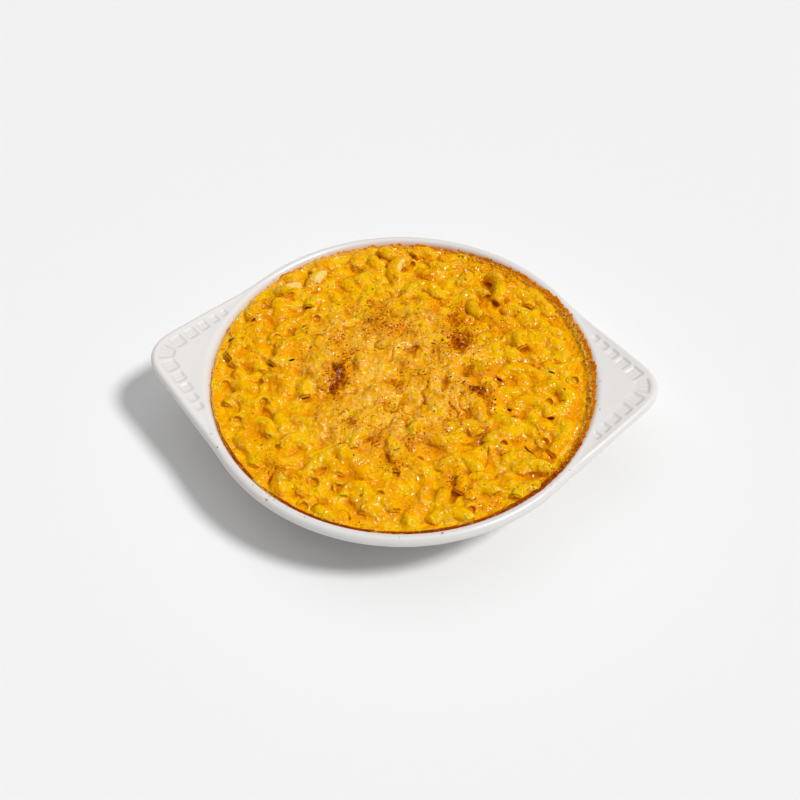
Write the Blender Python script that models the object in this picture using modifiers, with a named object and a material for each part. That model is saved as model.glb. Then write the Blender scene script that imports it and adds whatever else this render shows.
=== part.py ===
"""Baked macaroni and cheese in a round eared gratin dish.

Two solids: the glazed stoneware dish and the heap of macaroni that fills it to the rim.
Units are metres, +Z is up, and the origin lies under the middle of the foot. The two ears
point along +X and -X.
"""

import math

import bmesh
import bpy
import numpy as np
from mathutils import Matrix, Vector

MM = 0.001

# Driving dimensions of the dish
RIM_RADIUS = 100.0 * MM
RIM_HEIGHT = 40.0 * MM
LIP_WIDTH = 5.4 * MM
LIP_HEIGHT = 6.4 * MM
FOOT_RADIUS = 68.0 * MM
FOOT_WIDTH = 6.0 * MM
FOOT_HEIGHT = 1.6 * MM
FLOOR_HEIGHT = 6.6 * MM
FLOOR_RADIUS = 58.0 * MM
FLOOR_CORNER = 16.0 * MM
WALL_UNDERCUT = 4.2 * MM
TURN_STEPS = 72

# Driving dimensions of the two ears
EAR_REACH = 126.0 * MM
EAR_TIP_RADIUS = 18.0 * MM
EAR_THICKNESS = 5.0 * MM
EAR_RISE = 4.0 * MM
EAR_INSET = 12.0 * MM
EAR_ROOT_INSET = 1.0 * MM
EAR_ARC_POINTS = 13

# The row of pockets pressed along the edge of each ear
POCKET_COUNT = 11
POCKET_PITCH_MID = 9.8 * MM
POCKET_PITCH_END = 6.4 * MM
POCKET_LENGTH_MID = 8.6 * MM
POCKET_LENGTH_END = 5.0 * MM
POCKET_LAND = 2.2 * MM
POCKET_DEPTH = 1.3 * MM
EDGE_BEAD = 4.6 * MM

# Driving dimensions of the filling
FIT_GAP = 0.3 * MM
FILL_LEVEL = RIM_HEIGHT - 3.6 * MM
CROWN = 2.2 * MM
CRUST_LEVEL = RIM_HEIGHT - 1.6 * MM
CRUST_WIDTH = 7.0 * MM
TUBE_RADIUS = 5.0 * MM
BEND_RADIUS = 9.0 * MM
BEND_ANGLE = math.radians(150.0)
BEADS_PER_TUBE = 9
TUBE_SPACING = 17.0 * MM
LEVEL_SPREAD = 2.6 * MM
GRID_CELLS = 60
SLAB_DEPTH = 60.0 * MM
FILL_SEED = 41

# The two hollows in the middle of the heap: x, y, radius, depth
HOLLOWS = (
    (22.0 * MM, 27.0 * MM, 12.0 * MM, 4.5 * MM),
    (50.0 * MM, -4.0 * MM, 11.0 * MM, 3.5 * MM),
)


def clear_scene():
    """Removes whatever the file holds before the model is made."""
    for thing in list(bpy.data.objects):
        bpy.data.objects.remove(thing, do_unlink=True)


def new_collection(name):
    """Returns a collection linked to the scene."""
    made = bpy.data.collections.new(name)
    bpy.context.scene.collection.children.link(made)
    return made


def new_object(name, data, collection):
    """Returns an object for the data, linked to the collection."""
    made = bpy.data.objects.new(name, data)
    collection.objects.link(made)
    return made


def hide_cutter(cutter):
    """Marks an object as a construction aid."""
    cutter.hide_render = True
    cutter.display_type = "WIRE"


def make_material(name, colour, roughness):
    """Returns a Principled material with a linear colour."""
    material = bpy.data.materials.new(name)
    material.use_nodes = True
    shader = material.node_tree.nodes["Principled BSDF"]
    shader.inputs["Base Color"].default_value = (*colour, 1.0)
    shader.inputs["Roughness"].default_value = roughness
    shader.inputs["Metallic"].default_value = 0.0
    return material


def arc_points(centre, radii, start, end, count):
    """Points along an elliptical arc, with angles in degrees from the +r axis."""
    angles = [math.radians(start + (end - start) * i / (count - 1)) for i in range(count)]
    return [(centre[0] + radii[0] * math.cos(a), centre[1] + radii[1] * math.sin(a)) for a in angles]


def line_mesh(name, points):
    """An open chain of edges through (r, z) points in the XZ plane."""
    mesh = bpy.data.meshes.new(name)
    edges = [(i, i + 1) for i in range(len(points) - 1)]
    mesh.from_pydata([(r, 0.0, z) for r, z in points], edges, [])
    return mesh


def turn(thing):
    """Turns a profile about Z into a closed body."""
    screw = thing.modifiers.new("turn", "SCREW")
    screw.axis = "Z"
    screw.angle = math.tau
    screw.steps = TURN_STEPS
    screw.render_steps = TURN_STEPS
    screw.use_merge_vertices = True
    screw.merge_threshold = 0.00002
    screw.use_smooth_shade = True


def cut(thing, operation, **operand):
    """Adds an exact Boolean with either an object or a collection as operand."""
    boolean = thing.modifiers.new(operation.lower(), "BOOLEAN")
    boolean.operation = operation
    boolean.solver = "EXACT"
    for key, value in operand.items():
        boolean.operand_type = key.upper()
        setattr(boolean, key, value)


def floor_corner_points(gap):
    """The rounded corner between the cavity's floor and its wall, raised off it by a gap."""
    centre = (FLOOR_RADIUS - gap, FLOOR_HEIGHT + gap + FLOOR_CORNER)
    return arc_points(centre, (FLOOR_CORNER, FLOOR_CORNER), -90.0, -46.0, 5)


def bowl_profile():
    """The bowl's section: floor, inner wall, rounded lip, outer wall and foot ring."""
    lip_half = LIP_WIDTH / 2.0
    lip_centre = RIM_RADIUS - lip_half
    shoulder = RIM_HEIGHT - LIP_HEIGHT / 2.0
    lip = arc_points((lip_centre, shoulder), (lip_half, LIP_HEIGHT / 2.0), 180.0, -60.0, 13)
    underside = FOOT_HEIGHT
    wall_top = (RIM_RADIUS - WALL_UNDERCUT, RIM_HEIGHT - LIP_HEIGHT - 0.6 * MM)
    points = [(0.0, FLOOR_HEIGHT)]
    points += floor_corner_points(0.0)
    points += lip
    points += [wall_top, (FOOT_RADIUS + 2.0 * MM, 4.0 * MM), (FOOT_RADIUS, 0.0)]
    points += [(FOOT_RADIUS - FOOT_WIDTH, 0.0), (FOOT_RADIUS - FOOT_WIDTH - 1.0 * MM, underside)]
    points += [(0.0, underside)]
    return points


def tangent_angle():
    """Angle from the ear's axis at which the straight flank leaves the tip circle.

    The flank is tangent to the tip circle and to a circle just inside the rim.
    """
    root = RIM_RADIUS - EAR_ROOT_INSET
    return math.acos((root - EAR_TIP_RADIUS) / (EAR_REACH - EAR_TIP_RADIUS))


def ear_outline():
    """The ear's plan: straight flanks tangent to the rim, a round tip, and a root in the lip."""
    flank = tangent_angle()
    tip = EAR_REACH - EAR_TIP_RADIUS
    steps = EAR_ARC_POINTS - 1
    angles = [flank - 2.0 * flank * i / steps for i in range(EAR_ARC_POINTS)]
    outline = [(tip + EAR_TIP_RADIUS * math.cos(a), EAR_TIP_RADIUS * math.sin(a)) for a in angles]
    root = RIM_RADIUS - LIP_WIDTH / 2.0
    shares = (-1.0, -0.5, 0.0, 0.5, 1.0)
    outline += [(root * math.cos(flank * s), root * math.sin(flank * s)) for s in shares]
    return outline


def ear_slope():
    """The angle by which an ear rises from the rim to its tip."""
    return math.atan2(EAR_RISE, EAR_REACH - RIM_RADIUS + EAR_INSET)


def ear_matrix(side):
    """Places an ear drawn along +X at the rim, tilted up, and turned to its side."""
    hinge = Vector((RIM_RADIUS - EAR_INSET, 0.0, RIM_HEIGHT - EAR_THICKNESS / 2.0 - 0.6 * MM))
    tilt = Matrix.Translation(hinge) @ Matrix.Rotation(-ear_slope(), 4, "Y") @ Matrix.Translation(-hinge)
    lift = Matrix.Translation((0.0, 0.0, hinge.z))
    return Matrix.Rotation(side, 4, "Z") @ tilt @ lift


def curve_plate(name, outline, thickness, collection):
    """A flat closed outline extruded to a plate and made a welded mesh."""
    curve = bpy.data.curves.new(name, "CURVE")
    curve.dimensions = "2D"
    curve.fill_mode = "BOTH"
    curve.extrude = thickness / 2.0
    spline = curve.splines.new("POLY")
    spline.points.add(len(outline) - 1)
    for point, (x, y) in zip(spline.points, outline):
        point.co = (x, y, 0.0, 1.0)
    spline.use_cyclic_u = True
    drawn = new_object(name + "_outline", curve, collection)
    evaluated = drawn.evaluated_get(bpy.context.evaluated_depsgraph_get())
    mesh = bpy.data.meshes.new_from_object(evaluated)
    bpy.data.objects.remove(drawn, do_unlink=True)
    work = bmesh.new()
    work.from_mesh(mesh)
    bmesh.ops.remove_doubles(work, verts=work.verts, dist=0.00001)
    bmesh.ops.recalc_face_normals(work, faces=work.faces)
    work.to_mesh(mesh)
    work.free()
    return new_object(name, mesh, collection)


def pocket_path(distance, inset):
    """Point and outward direction on the line that runs inset from the ear's edge.

    The distance is counted from the tip: along the tip's arc first, then down a straight flank.
    """
    flank = tangent_angle()
    radius = EAR_TIP_RADIUS - inset
    along = min(abs(distance), radius * flank)
    angle = along / radius
    run = abs(distance) - along
    outward = Vector((math.cos(angle), math.sin(angle), 0.0))
    point = Vector((EAR_REACH - EAR_TIP_RADIUS, 0.0, 0.0)) + outward * radius
    point += Vector((-outward.y, outward.x, 0.0)) * run
    if distance < 0.0:
        point.y = -point.y
        outward.y = -outward.y
    return point, outward


def pocket_rows():
    """Distance from the tip, length and width of each pocket, wide at the tip and small at the ends."""
    half = POCKET_COUNT // 2
    rows = [(0.0, POCKET_LENGTH_MID, POCKET_PITCH_MID - POCKET_LAND)]
    distance = 0.0
    for i in range(1, half + 1):
        share = i / half
        pitch = POCKET_PITCH_MID + (POCKET_PITCH_END - POCKET_PITCH_MID) * share
        length = POCKET_LENGTH_MID + (POCKET_LENGTH_END - POCKET_LENGTH_MID) * share
        distance += pitch
        rows += [(sign * distance, length, pitch - POCKET_LAND) for sign in (1.0, -1.0)]
    return rows


def add_pockets(name, placing, collection):
    """Adds a box cutter for every pocket of one ear."""
    top = EAR_THICKNESS / 2.0
    height = 2.0 * POCKET_DEPTH
    for number, (distance, length, width) in enumerate(pocket_rows()):
        point, outward = pocket_path(distance, EDGE_BEAD + length / 2.0)
        mesh = bpy.data.meshes.new(f"{name}_{number}")
        box = bmesh.new()
        bmesh.ops.create_cube(box, size=1.0)
        bmesh.ops.scale(box, verts=box.verts, vec=(length, width, height))
        turned = Matrix.Rotation(math.atan2(outward.y, outward.x), 4, "Z")
        box.transform(placing @ Matrix.Translation((point.x, point.y, top)) @ turned)
        box.to_mesh(mesh)
        box.free()
        hide_cutter(new_object(mesh.name, mesh, collection))


def make_dish(parts, cutters, material):
    """The dish: a turned bowl with two ears joined on and their pockets pressed in."""
    dish = new_object("gratin_dish", line_mesh("gratin_dish", bowl_profile()), parts)
    turn(dish)
    pockets = new_collection("pocket_cutters")
    for label, side in (("right", 0.0), ("left", math.pi)):
        placing = ear_matrix(side)
        ear = curve_plate(f"ear_{label}", ear_outline(), EAR_THICKNESS, cutters)
        ear.data.transform(placing)
        hide_cutter(ear)
        cut(dish, "UNION", object=ear)
        add_pockets(f"pocket_{label}", placing, pockets)
    cut(dish, "DIFFERENCE", collection=pockets)
    dish.data.materials.append(material)
    return dish


def heap_beads():
    """Centres of the balls that outline every bent tube in the heap.

    Tubes are dealt out on a jittered triangular grid. Each is an arc of a circle in plan, and
    balls of the tube's radius are strung along it.
    """
    rng = np.random.default_rng(FILL_SEED)
    reach = RIM_RADIUS - LIP_WIDTH - CRUST_WIDTH
    rows = np.arange(-8, 9)
    column, row = np.meshgrid(rows, rows)
    x = (column + 0.5 * (row % 2)) * TUBE_SPACING
    y = row * TUBE_SPACING * math.sqrt(0.75)
    centres = np.stack([x.ravel(), y.ravel()], axis=1)
    centres += rng.uniform(-0.35, 0.35, centres.shape) * TUBE_SPACING
    centres = centres[np.hypot(centres[:, 0], centres[:, 1]) < reach]
    heading = rng.uniform(0.0, math.tau, len(centres))
    level = rng.uniform(-1.0, 0.4, len(centres)) * LEVEL_SPREAD
    sweep = np.linspace(-0.5, 0.5, BEADS_PER_TUBE) * BEND_ANGLE
    angle = heading[:, None] + sweep[None, :]
    bend = np.stack([np.cos(angle), np.sin(angle)], axis=2) * BEND_RADIUS
    middle = np.stack([np.cos(heading), np.sin(heading)], axis=1)[:, None, :] * BEND_RADIUS * 0.7
    beads = centres[:, None, :] + bend - middle
    heights = np.repeat(level[:, None], BEADS_PER_TUBE, axis=1)
    return beads.reshape(-1, 2), heights.ravel()


def heap_height(x, y):
    """Height of the heap's top over a point: the tallest ball there, on a slightly crowned bed.

    Towards the edge the bed meets a crust that climbs to the dish's lip.
    """
    beads, levels = heap_beads()
    reach = RIM_RADIUS - LIP_WIDTH
    radius = np.hypot(x, y)
    bed = FILL_LEVEL + CROWN * (1.0 - np.clip(radius / reach, 0.0, 1.0) ** 2)
    for hollow_x, hollow_y, width, depth in HOLLOWS:
        bed -= depth * np.exp(-((x - hollow_x) ** 2 + (y - hollow_y) ** 2) / width**2)
    squared = (x[..., None] - beads[:, 0]) ** 2 + (y[..., None] - beads[:, 1]) ** 2
    balls = np.sqrt(np.clip(TUBE_RADIUS**2 - squared, 0.0, None)) + levels
    lump = np.where(squared < TUBE_RADIUS**2, balls, 0.0).max(axis=-1)
    crust = np.clip((radius - (reach - CRUST_WIDTH)) / CRUST_WIDTH, 0.0, 1.0)
    return (bed + np.clip(lump, 0.0, None)) * (1.0 - crust) + CRUST_LEVEL * crust


def make_heap_top(cutters):
    """A deep square slab whose top is the heap's relief."""
    side = 2.0 * (RIM_RADIUS + TUBE_RADIUS)
    slab = bmesh.new()
    bmesh.ops.create_grid(slab, x_segments=GRID_CELLS, y_segments=GRID_CELLS, size=side / 2.0)
    flat = np.array([vertex.co[:] for vertex in slab.verts])
    heights = heap_height(flat[:, 0], flat[:, 1])
    for vertex, height in zip(slab.verts, heights):
        vertex.co.z = height
    grown = bmesh.ops.extrude_face_region(slab, geom=slab.faces[:])
    for item in grown["geom"]:
        if isinstance(item, bmesh.types.BMVert):
            item.co.z = RIM_HEIGHT - SLAB_DEPTH
    bmesh.ops.recalc_face_normals(slab, faces=slab.faces[:])
    mesh = bpy.data.meshes.new("heap_top")
    slab.to_mesh(mesh)
    slab.free()
    top = new_object("heap_top", mesh, cutters)
    hide_cutter(top)
    return top


def cavity_profile():
    """The space that the filling may take: the cavity less the gap, open above the rim."""
    wall = RIM_RADIUS - LIP_WIDTH - FIT_GAP
    ceiling = RIM_HEIGHT + 4.0 * TUBE_RADIUS
    points = [(0.0, ceiling), (wall, ceiling), (wall, RIM_HEIGHT - LIP_HEIGHT / 2.0)]
    points += reversed(floor_corner_points(FIT_GAP))
    points += [(0.0, FLOOR_HEIGHT + FIT_GAP)]
    return points


def make_filling(parts, cutters, material):
    """The macaroni: the cavity's shape kept only under the heap's relief."""
    heap = new_object("macaroni_cheese", line_mesh("macaroni_cheese", cavity_profile()), parts)
    turn(heap)
    cut(heap, "INTERSECT", object=make_heap_top(cutters))
    heap.data.materials.append(material)
    return heap


def main():
    """Builds the dish and its filling."""
    clear_scene()
    parts = new_collection("macaroni_cheese_in_dish")
    cutters = new_collection("cutters")
    glaze = make_material("glazed stoneware", (0.78, 0.77, 0.75), 0.2)
    cheese = make_material("baked cheese sauce", (0.86, 0.42, 0.02), 0.4)
    make_dish(parts, cutters, glaze)
    make_filling(parts, cutters, cheese)


main()
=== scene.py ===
"""Baked macaroni and cheese in a white eared gratin dish.

Every shape is worked out in millimetres as whole numpy arrays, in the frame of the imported
model, and becomes metres when its mesh is made. The dish is one glazed shell. The filling is a
core of baked cheese with real elbow macaroni lying in it, a browned rim crust, and the crumbs,
paprika, pepper, herbs and splashes scattered over them.
"""

import logging
import math
from collections.abc import Iterator, Sequence
from dataclasses import dataclass, field
from enum import Enum
from functools import lru_cache
from typing import ClassVar, Optional

import bpy
import numpy as np
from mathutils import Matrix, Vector
from mathutils.bvhtree import BVHTree


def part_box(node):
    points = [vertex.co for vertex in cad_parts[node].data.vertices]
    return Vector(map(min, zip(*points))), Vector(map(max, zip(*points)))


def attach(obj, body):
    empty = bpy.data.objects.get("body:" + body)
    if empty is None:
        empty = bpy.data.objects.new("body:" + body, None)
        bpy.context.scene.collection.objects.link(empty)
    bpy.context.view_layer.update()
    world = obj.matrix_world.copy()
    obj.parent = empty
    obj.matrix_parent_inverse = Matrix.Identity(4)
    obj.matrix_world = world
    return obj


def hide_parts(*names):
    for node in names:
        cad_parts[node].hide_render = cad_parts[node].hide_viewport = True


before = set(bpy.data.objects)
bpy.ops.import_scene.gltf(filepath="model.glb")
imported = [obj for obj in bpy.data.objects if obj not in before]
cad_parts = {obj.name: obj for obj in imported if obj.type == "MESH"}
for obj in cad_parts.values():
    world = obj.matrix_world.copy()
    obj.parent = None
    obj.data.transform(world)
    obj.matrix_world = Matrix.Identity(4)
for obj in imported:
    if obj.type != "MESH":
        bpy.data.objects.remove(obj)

Array = np.ndarray
Object, Material = bpy.types.Object, bpy.types.Material
Socket, Tree = bpy.types.NodeSocket, bpy.types.NodeTree

MM = 0.001
# The steps from a cell's first corner to its eight corners.
CORNERS = np.indices((2, 2, 2)).reshape(3, 8).T
# The filling's radius, and the gap that it keeps to the dish, in mm.
FILL_RADIUS = 94.0
DISH_GAP = 0.3
log = logging.getLogger("gratin")


class Slot(Enum):
    """The record's material slots."""

    GLAZE = "stoneware_glaze"
    CHEESE = "baked_cheese"


class Node(Enum):
    """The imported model's solids."""

    DISH = "gratin_dish"
    FOOD = "macaroni_cheese"


# ---- Small tools: colour, nodes, numbers and meshes ----


def linear(shade: str) -> tuple[float, float, float, float]:
    """Turns an sRGB hex colour to the linear colour that a shader takes.

    Args:
        shade: The colour as "#RRGGBB".

    Returns:
        Red, green, blue and alpha.
    """
    level = np.array([int(shade[i : i + 2], 16) for i in (1, 3, 5)]) / 255.0
    bright = ((level + 0.055) / 1.055) ** 2.4
    return (*np.where(level <= 0.04045, level / 12.92, bright).tolist(), 1.0)


def add_node(
    tree: Tree, kind: str, settings: Optional[dict] = None, inputs: Optional[dict] = None,
) -> bpy.types.Node:
    """Adds one node with its settings and inputs.

    Args:
        tree: The material's node tree.
        kind: Blender's name for the node, after "ShaderNode".
        settings: The node's own properties by name.
        inputs: What goes in each input, by name or number: a socket is linked, a value is set.

    Returns:
        The node.
    """
    node = tree.nodes.new("ShaderNode" + kind)
    for name, value in (settings or {}).items():
        setattr(node, name, value)
    for name, value in (inputs or {}).items():
        if isinstance(value, Socket):
            tree.links.new(value, node.inputs[name])
        else:
            node.inputs[name].default_value = value
    return node


def new_material(name: str) -> tuple[Material, Tree]:
    """Makes a material with an empty node tree."""
    material = bpy.data.materials.new(name)
    material.use_nodes = True
    material.node_tree.nodes.clear()
    return material, material.node_tree


def ease(low: float, high: float, value: Array) -> Array:
    """Rises smoothly from 0 at low to 1 at high: three squares less two cubes of the share."""
    share = np.clip((value - low) / (high - low), 0.0, 1.0)
    return share * share * (3.0 - 2.0 * share)


def bell(value: Array, width: float) -> Array:
    """A bell curve: e to the power of minus the square of value over width."""
    return np.exp(-((value / width) ** 2))


def soft_min(a: Array, b: Array, width: float) -> Array:
    """The lesser of two fields, rounded by a quarter of the squared overlap where they are near."""
    overlap = np.maximum(width - np.abs(a - b), 0.0)
    return np.minimum(a, b) - overlap * overlap / (4.0 * width)


def soft_max(a: Array, b: Array, width: float) -> Array:
    """The greater of two fields, rounded where they are near."""
    return -soft_min(-a, -b, width)


def polar(radius: Array | float, azimuth: Array) -> Array:
    """Places in plan at a radius and an azimuth."""
    return np.stack([radius * np.cos(azimuth), radius * np.sin(azimuth)], axis=-1)


def on_level(x: Array, y: Array) -> Array:
    """Places at height 0."""
    return np.stack([x, y, np.zeros_like(x)], axis=-1)


def raised(plan: Array, height: Array) -> Array:
    """Places over a plan, shape (..., 2), at heights that spread over it."""
    height = np.broadcast_to(height, plan.shape[:-1])[..., None]
    return np.concatenate([plan, height], axis=-1)


def pointing(heading: float, elevation: float) -> Vector:
    """The unit vector towards a heading and an elevation in degrees."""
    turn, lift = math.radians(heading), math.radians(elevation)
    flat = math.cos(lift)
    return Vector((math.cos(turn) * flat, math.sin(turn) * flat, math.sin(lift)))


@lru_cache(maxsize=None)
def noise_table(seed: int) -> Array:
    """Random values from -1 to 1 on a 32-cubed lattice, flat."""
    return np.random.default_rng(seed).uniform(-1.0, 1.0, 32**3).astype(np.float32)


def lattice_noise(points: Array, cell: float, seed: int, octaves: int = 1) -> Array:
    """Smooth noise from about -1 to 1.

    Random values stand on a cubic lattice and are blended by an eased share along each axis.
    Each further octave has half the cell and half the height.

    Args:
        points: Places in mm, shape (..., 3).
        cell: The lattice's cell in mm.
        seed: The seed of the random values.
        octaves: How many sizes are summed.

    Returns:
        One value for each place.
    """
    table = noise_table(seed)
    total = np.zeros(points.shape[:-1], np.float32)
    height = 1.0
    for octave in range(octaves):
        scaled = points * (2.0**octave / cell) + 11.7 * octave
        base = np.floor(scaled).astype(np.int64)
        share = (scaled - base).astype(np.float32)
        share = share * share * (3.0 - 2.0 * share)
        for steps in CORNERS:
            place = (base + steps) & 31
            weight = np.prod(np.where(steps == 1, share, 1.0 - share), axis=-1)
            number = (place[..., 0] * 32 + place[..., 1]) * 32 + place[..., 2]
            total += height * weight * table[number]
        height *= 0.5
    return total


def unit(vectors: Array) -> Array:
    """Scales every vector to length 1."""
    return vectors / np.maximum(np.linalg.norm(vectors, axis=-1, keepdims=True), 1e-9)


def grid_quads(rows: int, columns: int, closed_rows: bool = False) -> Array:
    """Quads of a grid whose columns wrap round.

    Args:
        rows: How many rows of points the grid has.
        columns: How many points a row has.
        closed_rows: Whether the last row joins the first.

    Returns:
        Point numbers, four to a quad, counted row by row.
    """
    row = np.arange(rows if closed_rows else rows - 1)[:, None]
    column = np.arange(columns)[None, :]
    after, beside = (row + 1) % rows, (column + 1) % columns
    corners = [row * columns + column, after * columns + column]
    corners += [after * columns + beside, row * columns + beside]
    return np.stack(np.broadcast_arrays(*corners), axis=-1).reshape(-1, 4)


def fan(centre: int, ring: Array, upward: bool) -> Array:
    """Triangles from one centre point to a ring of points counted anticlockwise."""
    beside = np.roll(ring, -1)
    middle = np.full_like(ring, centre)
    return np.stack([middle, ring, beside] if upward else [middle, beside, ring], axis=-1)


def make_piece(
    name: str, points: Array, quads: Optional[Array] = None, triangles: Optional[Array] = None,
    marks: Optional[dict[str, Array]] = None,
) -> Object:
    """Makes a smooth mesh object at the origin.

    Args:
        name: The piece's name.
        points: Places in mm, shape (n, 3).
        quads: Point numbers of four-sided faces.
        triangles: Point numbers of three-sided faces.
        marks: A number for each point, by attribute name.

    Returns:
        The object, linked to the scene.
    """
    parts = [part for part in (quads, triangles) if part is not None and len(part)]
    sizes = np.concatenate([np.full(len(part), part.shape[1]) for part in parts])
    corners = np.concatenate([part.ravel() for part in parts]).astype(np.int32)
    mesh = bpy.data.meshes.new(name)
    mesh.vertices.add(len(points))
    mesh.vertices.foreach_set("co", (points * MM).astype(np.float32).ravel())
    mesh.loops.add(len(corners))
    mesh.loops.foreach_set("vertex_index", corners)
    mesh.polygons.add(len(sizes))
    mesh.polygons.foreach_set("loop_start", (np.cumsum(sizes) - sizes).astype(np.int32))
    mesh.polygons.foreach_set("use_smooth", np.ones(len(sizes), bool))
    mesh.update(calc_edges=True)
    for label, values in (marks or {}).items():
        layer = mesh.attributes.new(label, "FLOAT", "POINT")
        layer.data.foreach_set("value", np.asarray(values, np.float32))
    piece = bpy.data.objects.new(name, mesh)
    bpy.context.scene.collection.objects.link(piece)
    log.info("%s: %d points, %d triangles", name, len(points), int((sizes - 2).sum()))
    return piece


def place_piece(
    piece: Object, slot: Slot, material: Material, stands_for: Optional[Node] = None,
) -> Object:
    """Gives a piece its finish and the body it rides on, and hides the solid it stands for."""
    piece.data.materials.append(material)
    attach(piece, "root")
    if stands_for is not None:
        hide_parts(stands_for.value)
    return piece


# ---- Finishes ----


@dataclass(frozen=True)
class Noise:
    """A noise over a piece: cells to the metre, further octaves, and their share in height."""

    scale: float
    detail: float
    roughness: float = 0.5


def read_fields(
    tree: Tree, noises: dict[str, Noise], marks: Sequence[str] = ()
) -> dict[str, Socket]:
    """Makes a piece's noises and reads the marks on its points.

    Args:
        tree: The material's node tree.
        noises: The noises, by name.
        marks: The marks' names.

    Returns:
        The fields, by name.
    """
    place = add_node(tree, "TexCoord").outputs["Object"]
    fields = {}
    for name, noise in noises.items():
        settings = {"Scale": noise.scale, "Detail": noise.detail, "Roughness": noise.roughness}
        node = add_node(tree, "TexNoise", None, {"Vector": place, **settings})
        fields[name] = node.outputs["Fac"]
    for mark in marks:
        node = add_node(tree, "Attribute", {"attribute_name": mark})
        fields[mark] = node.outputs["Fac"]
    return fields


@dataclass(frozen=True)
class StonewareGlaze:
    """White glazed stoneware, dipped and fired.

    The glaze is a glossy glass skin: a sharp window-like sheen over a slightly warm white, faint
    waves where it ran, a hint of grey where it pooled in the pressed pockets, and a bare matt
    foot where the kiln shelf was.
    """

    white: str = "#EEECEB"
    warm: str = "#EAE6E2"
    pooled: str = "#E2DFDC"
    bare: str = "#CBBFAE"
    roughness: float = 0.3
    bare_roughness: float = 0.8

    # Clouds of 45 mm in the tone, ripples of 9 mm and an orange peel of 1.6 mm in the skin.
    NOISES: ClassVar[dict[str, Noise]] = {
        "cloud": Noise(22.0, 2.0), "ripple": Noise(110.0, 1.0), "peel": Noise(620.0, 1.0),
    }

    def make(self) -> Material:
        """Builds the glaze's node tree."""
        material, tree = new_material("stoneware_glaze_white")
        fields = read_fields(tree, self.NOISES, ("pool", "bare"))
        colour: Socket | tuple = linear(self.white)
        for name, shade in (("cloud", self.warm), ("pool", self.pooled), ("bare", self.bare)):
            laid = add_node(
                tree, "Mix", {"data_type": "RGBA"}, {0: fields[name], 6: colour, 7: linear(shade)},
            )
            colour = laid.outputs[2]
        gloss = add_node(
            tree, "MapRange", None,
            {"Value": fields["bare"], "To Min": self.roughness, "To Max": self.bare_roughness},
        )
        skin = add_node(
            tree, "Math", {"operation": "MULTIPLY_ADD"},
            {0: fields["peel"], 1: 0.12, 2: fields["ripple"]},
        )
        bump = add_node(
            tree, "Bump", None, {"Height": skin.outputs[0], "Strength": 0.35, "Distance": 0.0004},
        )
        glaze = add_node(
            tree, "BsdfPrincipled", None,
            {
                "Base Color": colour, "Roughness": gloss.outputs["Result"],
                "Normal": bump.outputs["Normal"], "IOR": 1.5, "Coat Weight": 0.15,
                "Coat Roughness": 0.12,
            },
        )
        add_node(tree, "OutputMaterial", None, {"Surface": glaze.outputs["BSDF"]})
        return material


@dataclass(frozen=True)
class ColourLayer:
    """A colour laid over those below it, wherever a mark and a grain together are high.

    The level is the mark plus a weight times the grain. The colour's share rises smoothly from
    0 where the level is low to top where it is high.
    """

    shade: str
    mark: str
    grain: str
    weight: float
    low: float
    high: float
    top: float = 1.0


def lay_colours(
    tree: Tree, ground: str, fields: dict[str, Socket],
    layers: Sequence[ColourLayer],
) -> Socket:
    """Lays colours over a ground colour in turn.

    Args:
        tree: The material's node tree.
        ground: The colour below them all, as sRGB hex.
        fields: The marks and grains, by name.
        layers: The colours, lowest first.

    Returns:
        The finished colour.
    """
    colour: Socket | tuple = linear(ground)
    for layer in layers:
        level = add_node(
            tree, "Math", {"operation": "MULTIPLY_ADD"},
            {0: fields[layer.grain], 1: layer.weight, 2: fields[layer.mark]},
        )
        share = add_node(
            tree, "MapRange", {"interpolation_type": "SMOOTHSTEP"},
            {
                "Value": level.outputs[0],
                "From Min": layer.low, "From Max": layer.high, "To Max": layer.top,
            },
        )
        laid = add_node(
            tree, "Mix", {"data_type": "RGBA"},
            {0: share.outputs["Result"], 6: colour, 7: linear(layer.shade)},
        )
        colour = laid.outputs[2]
    return colour


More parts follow.
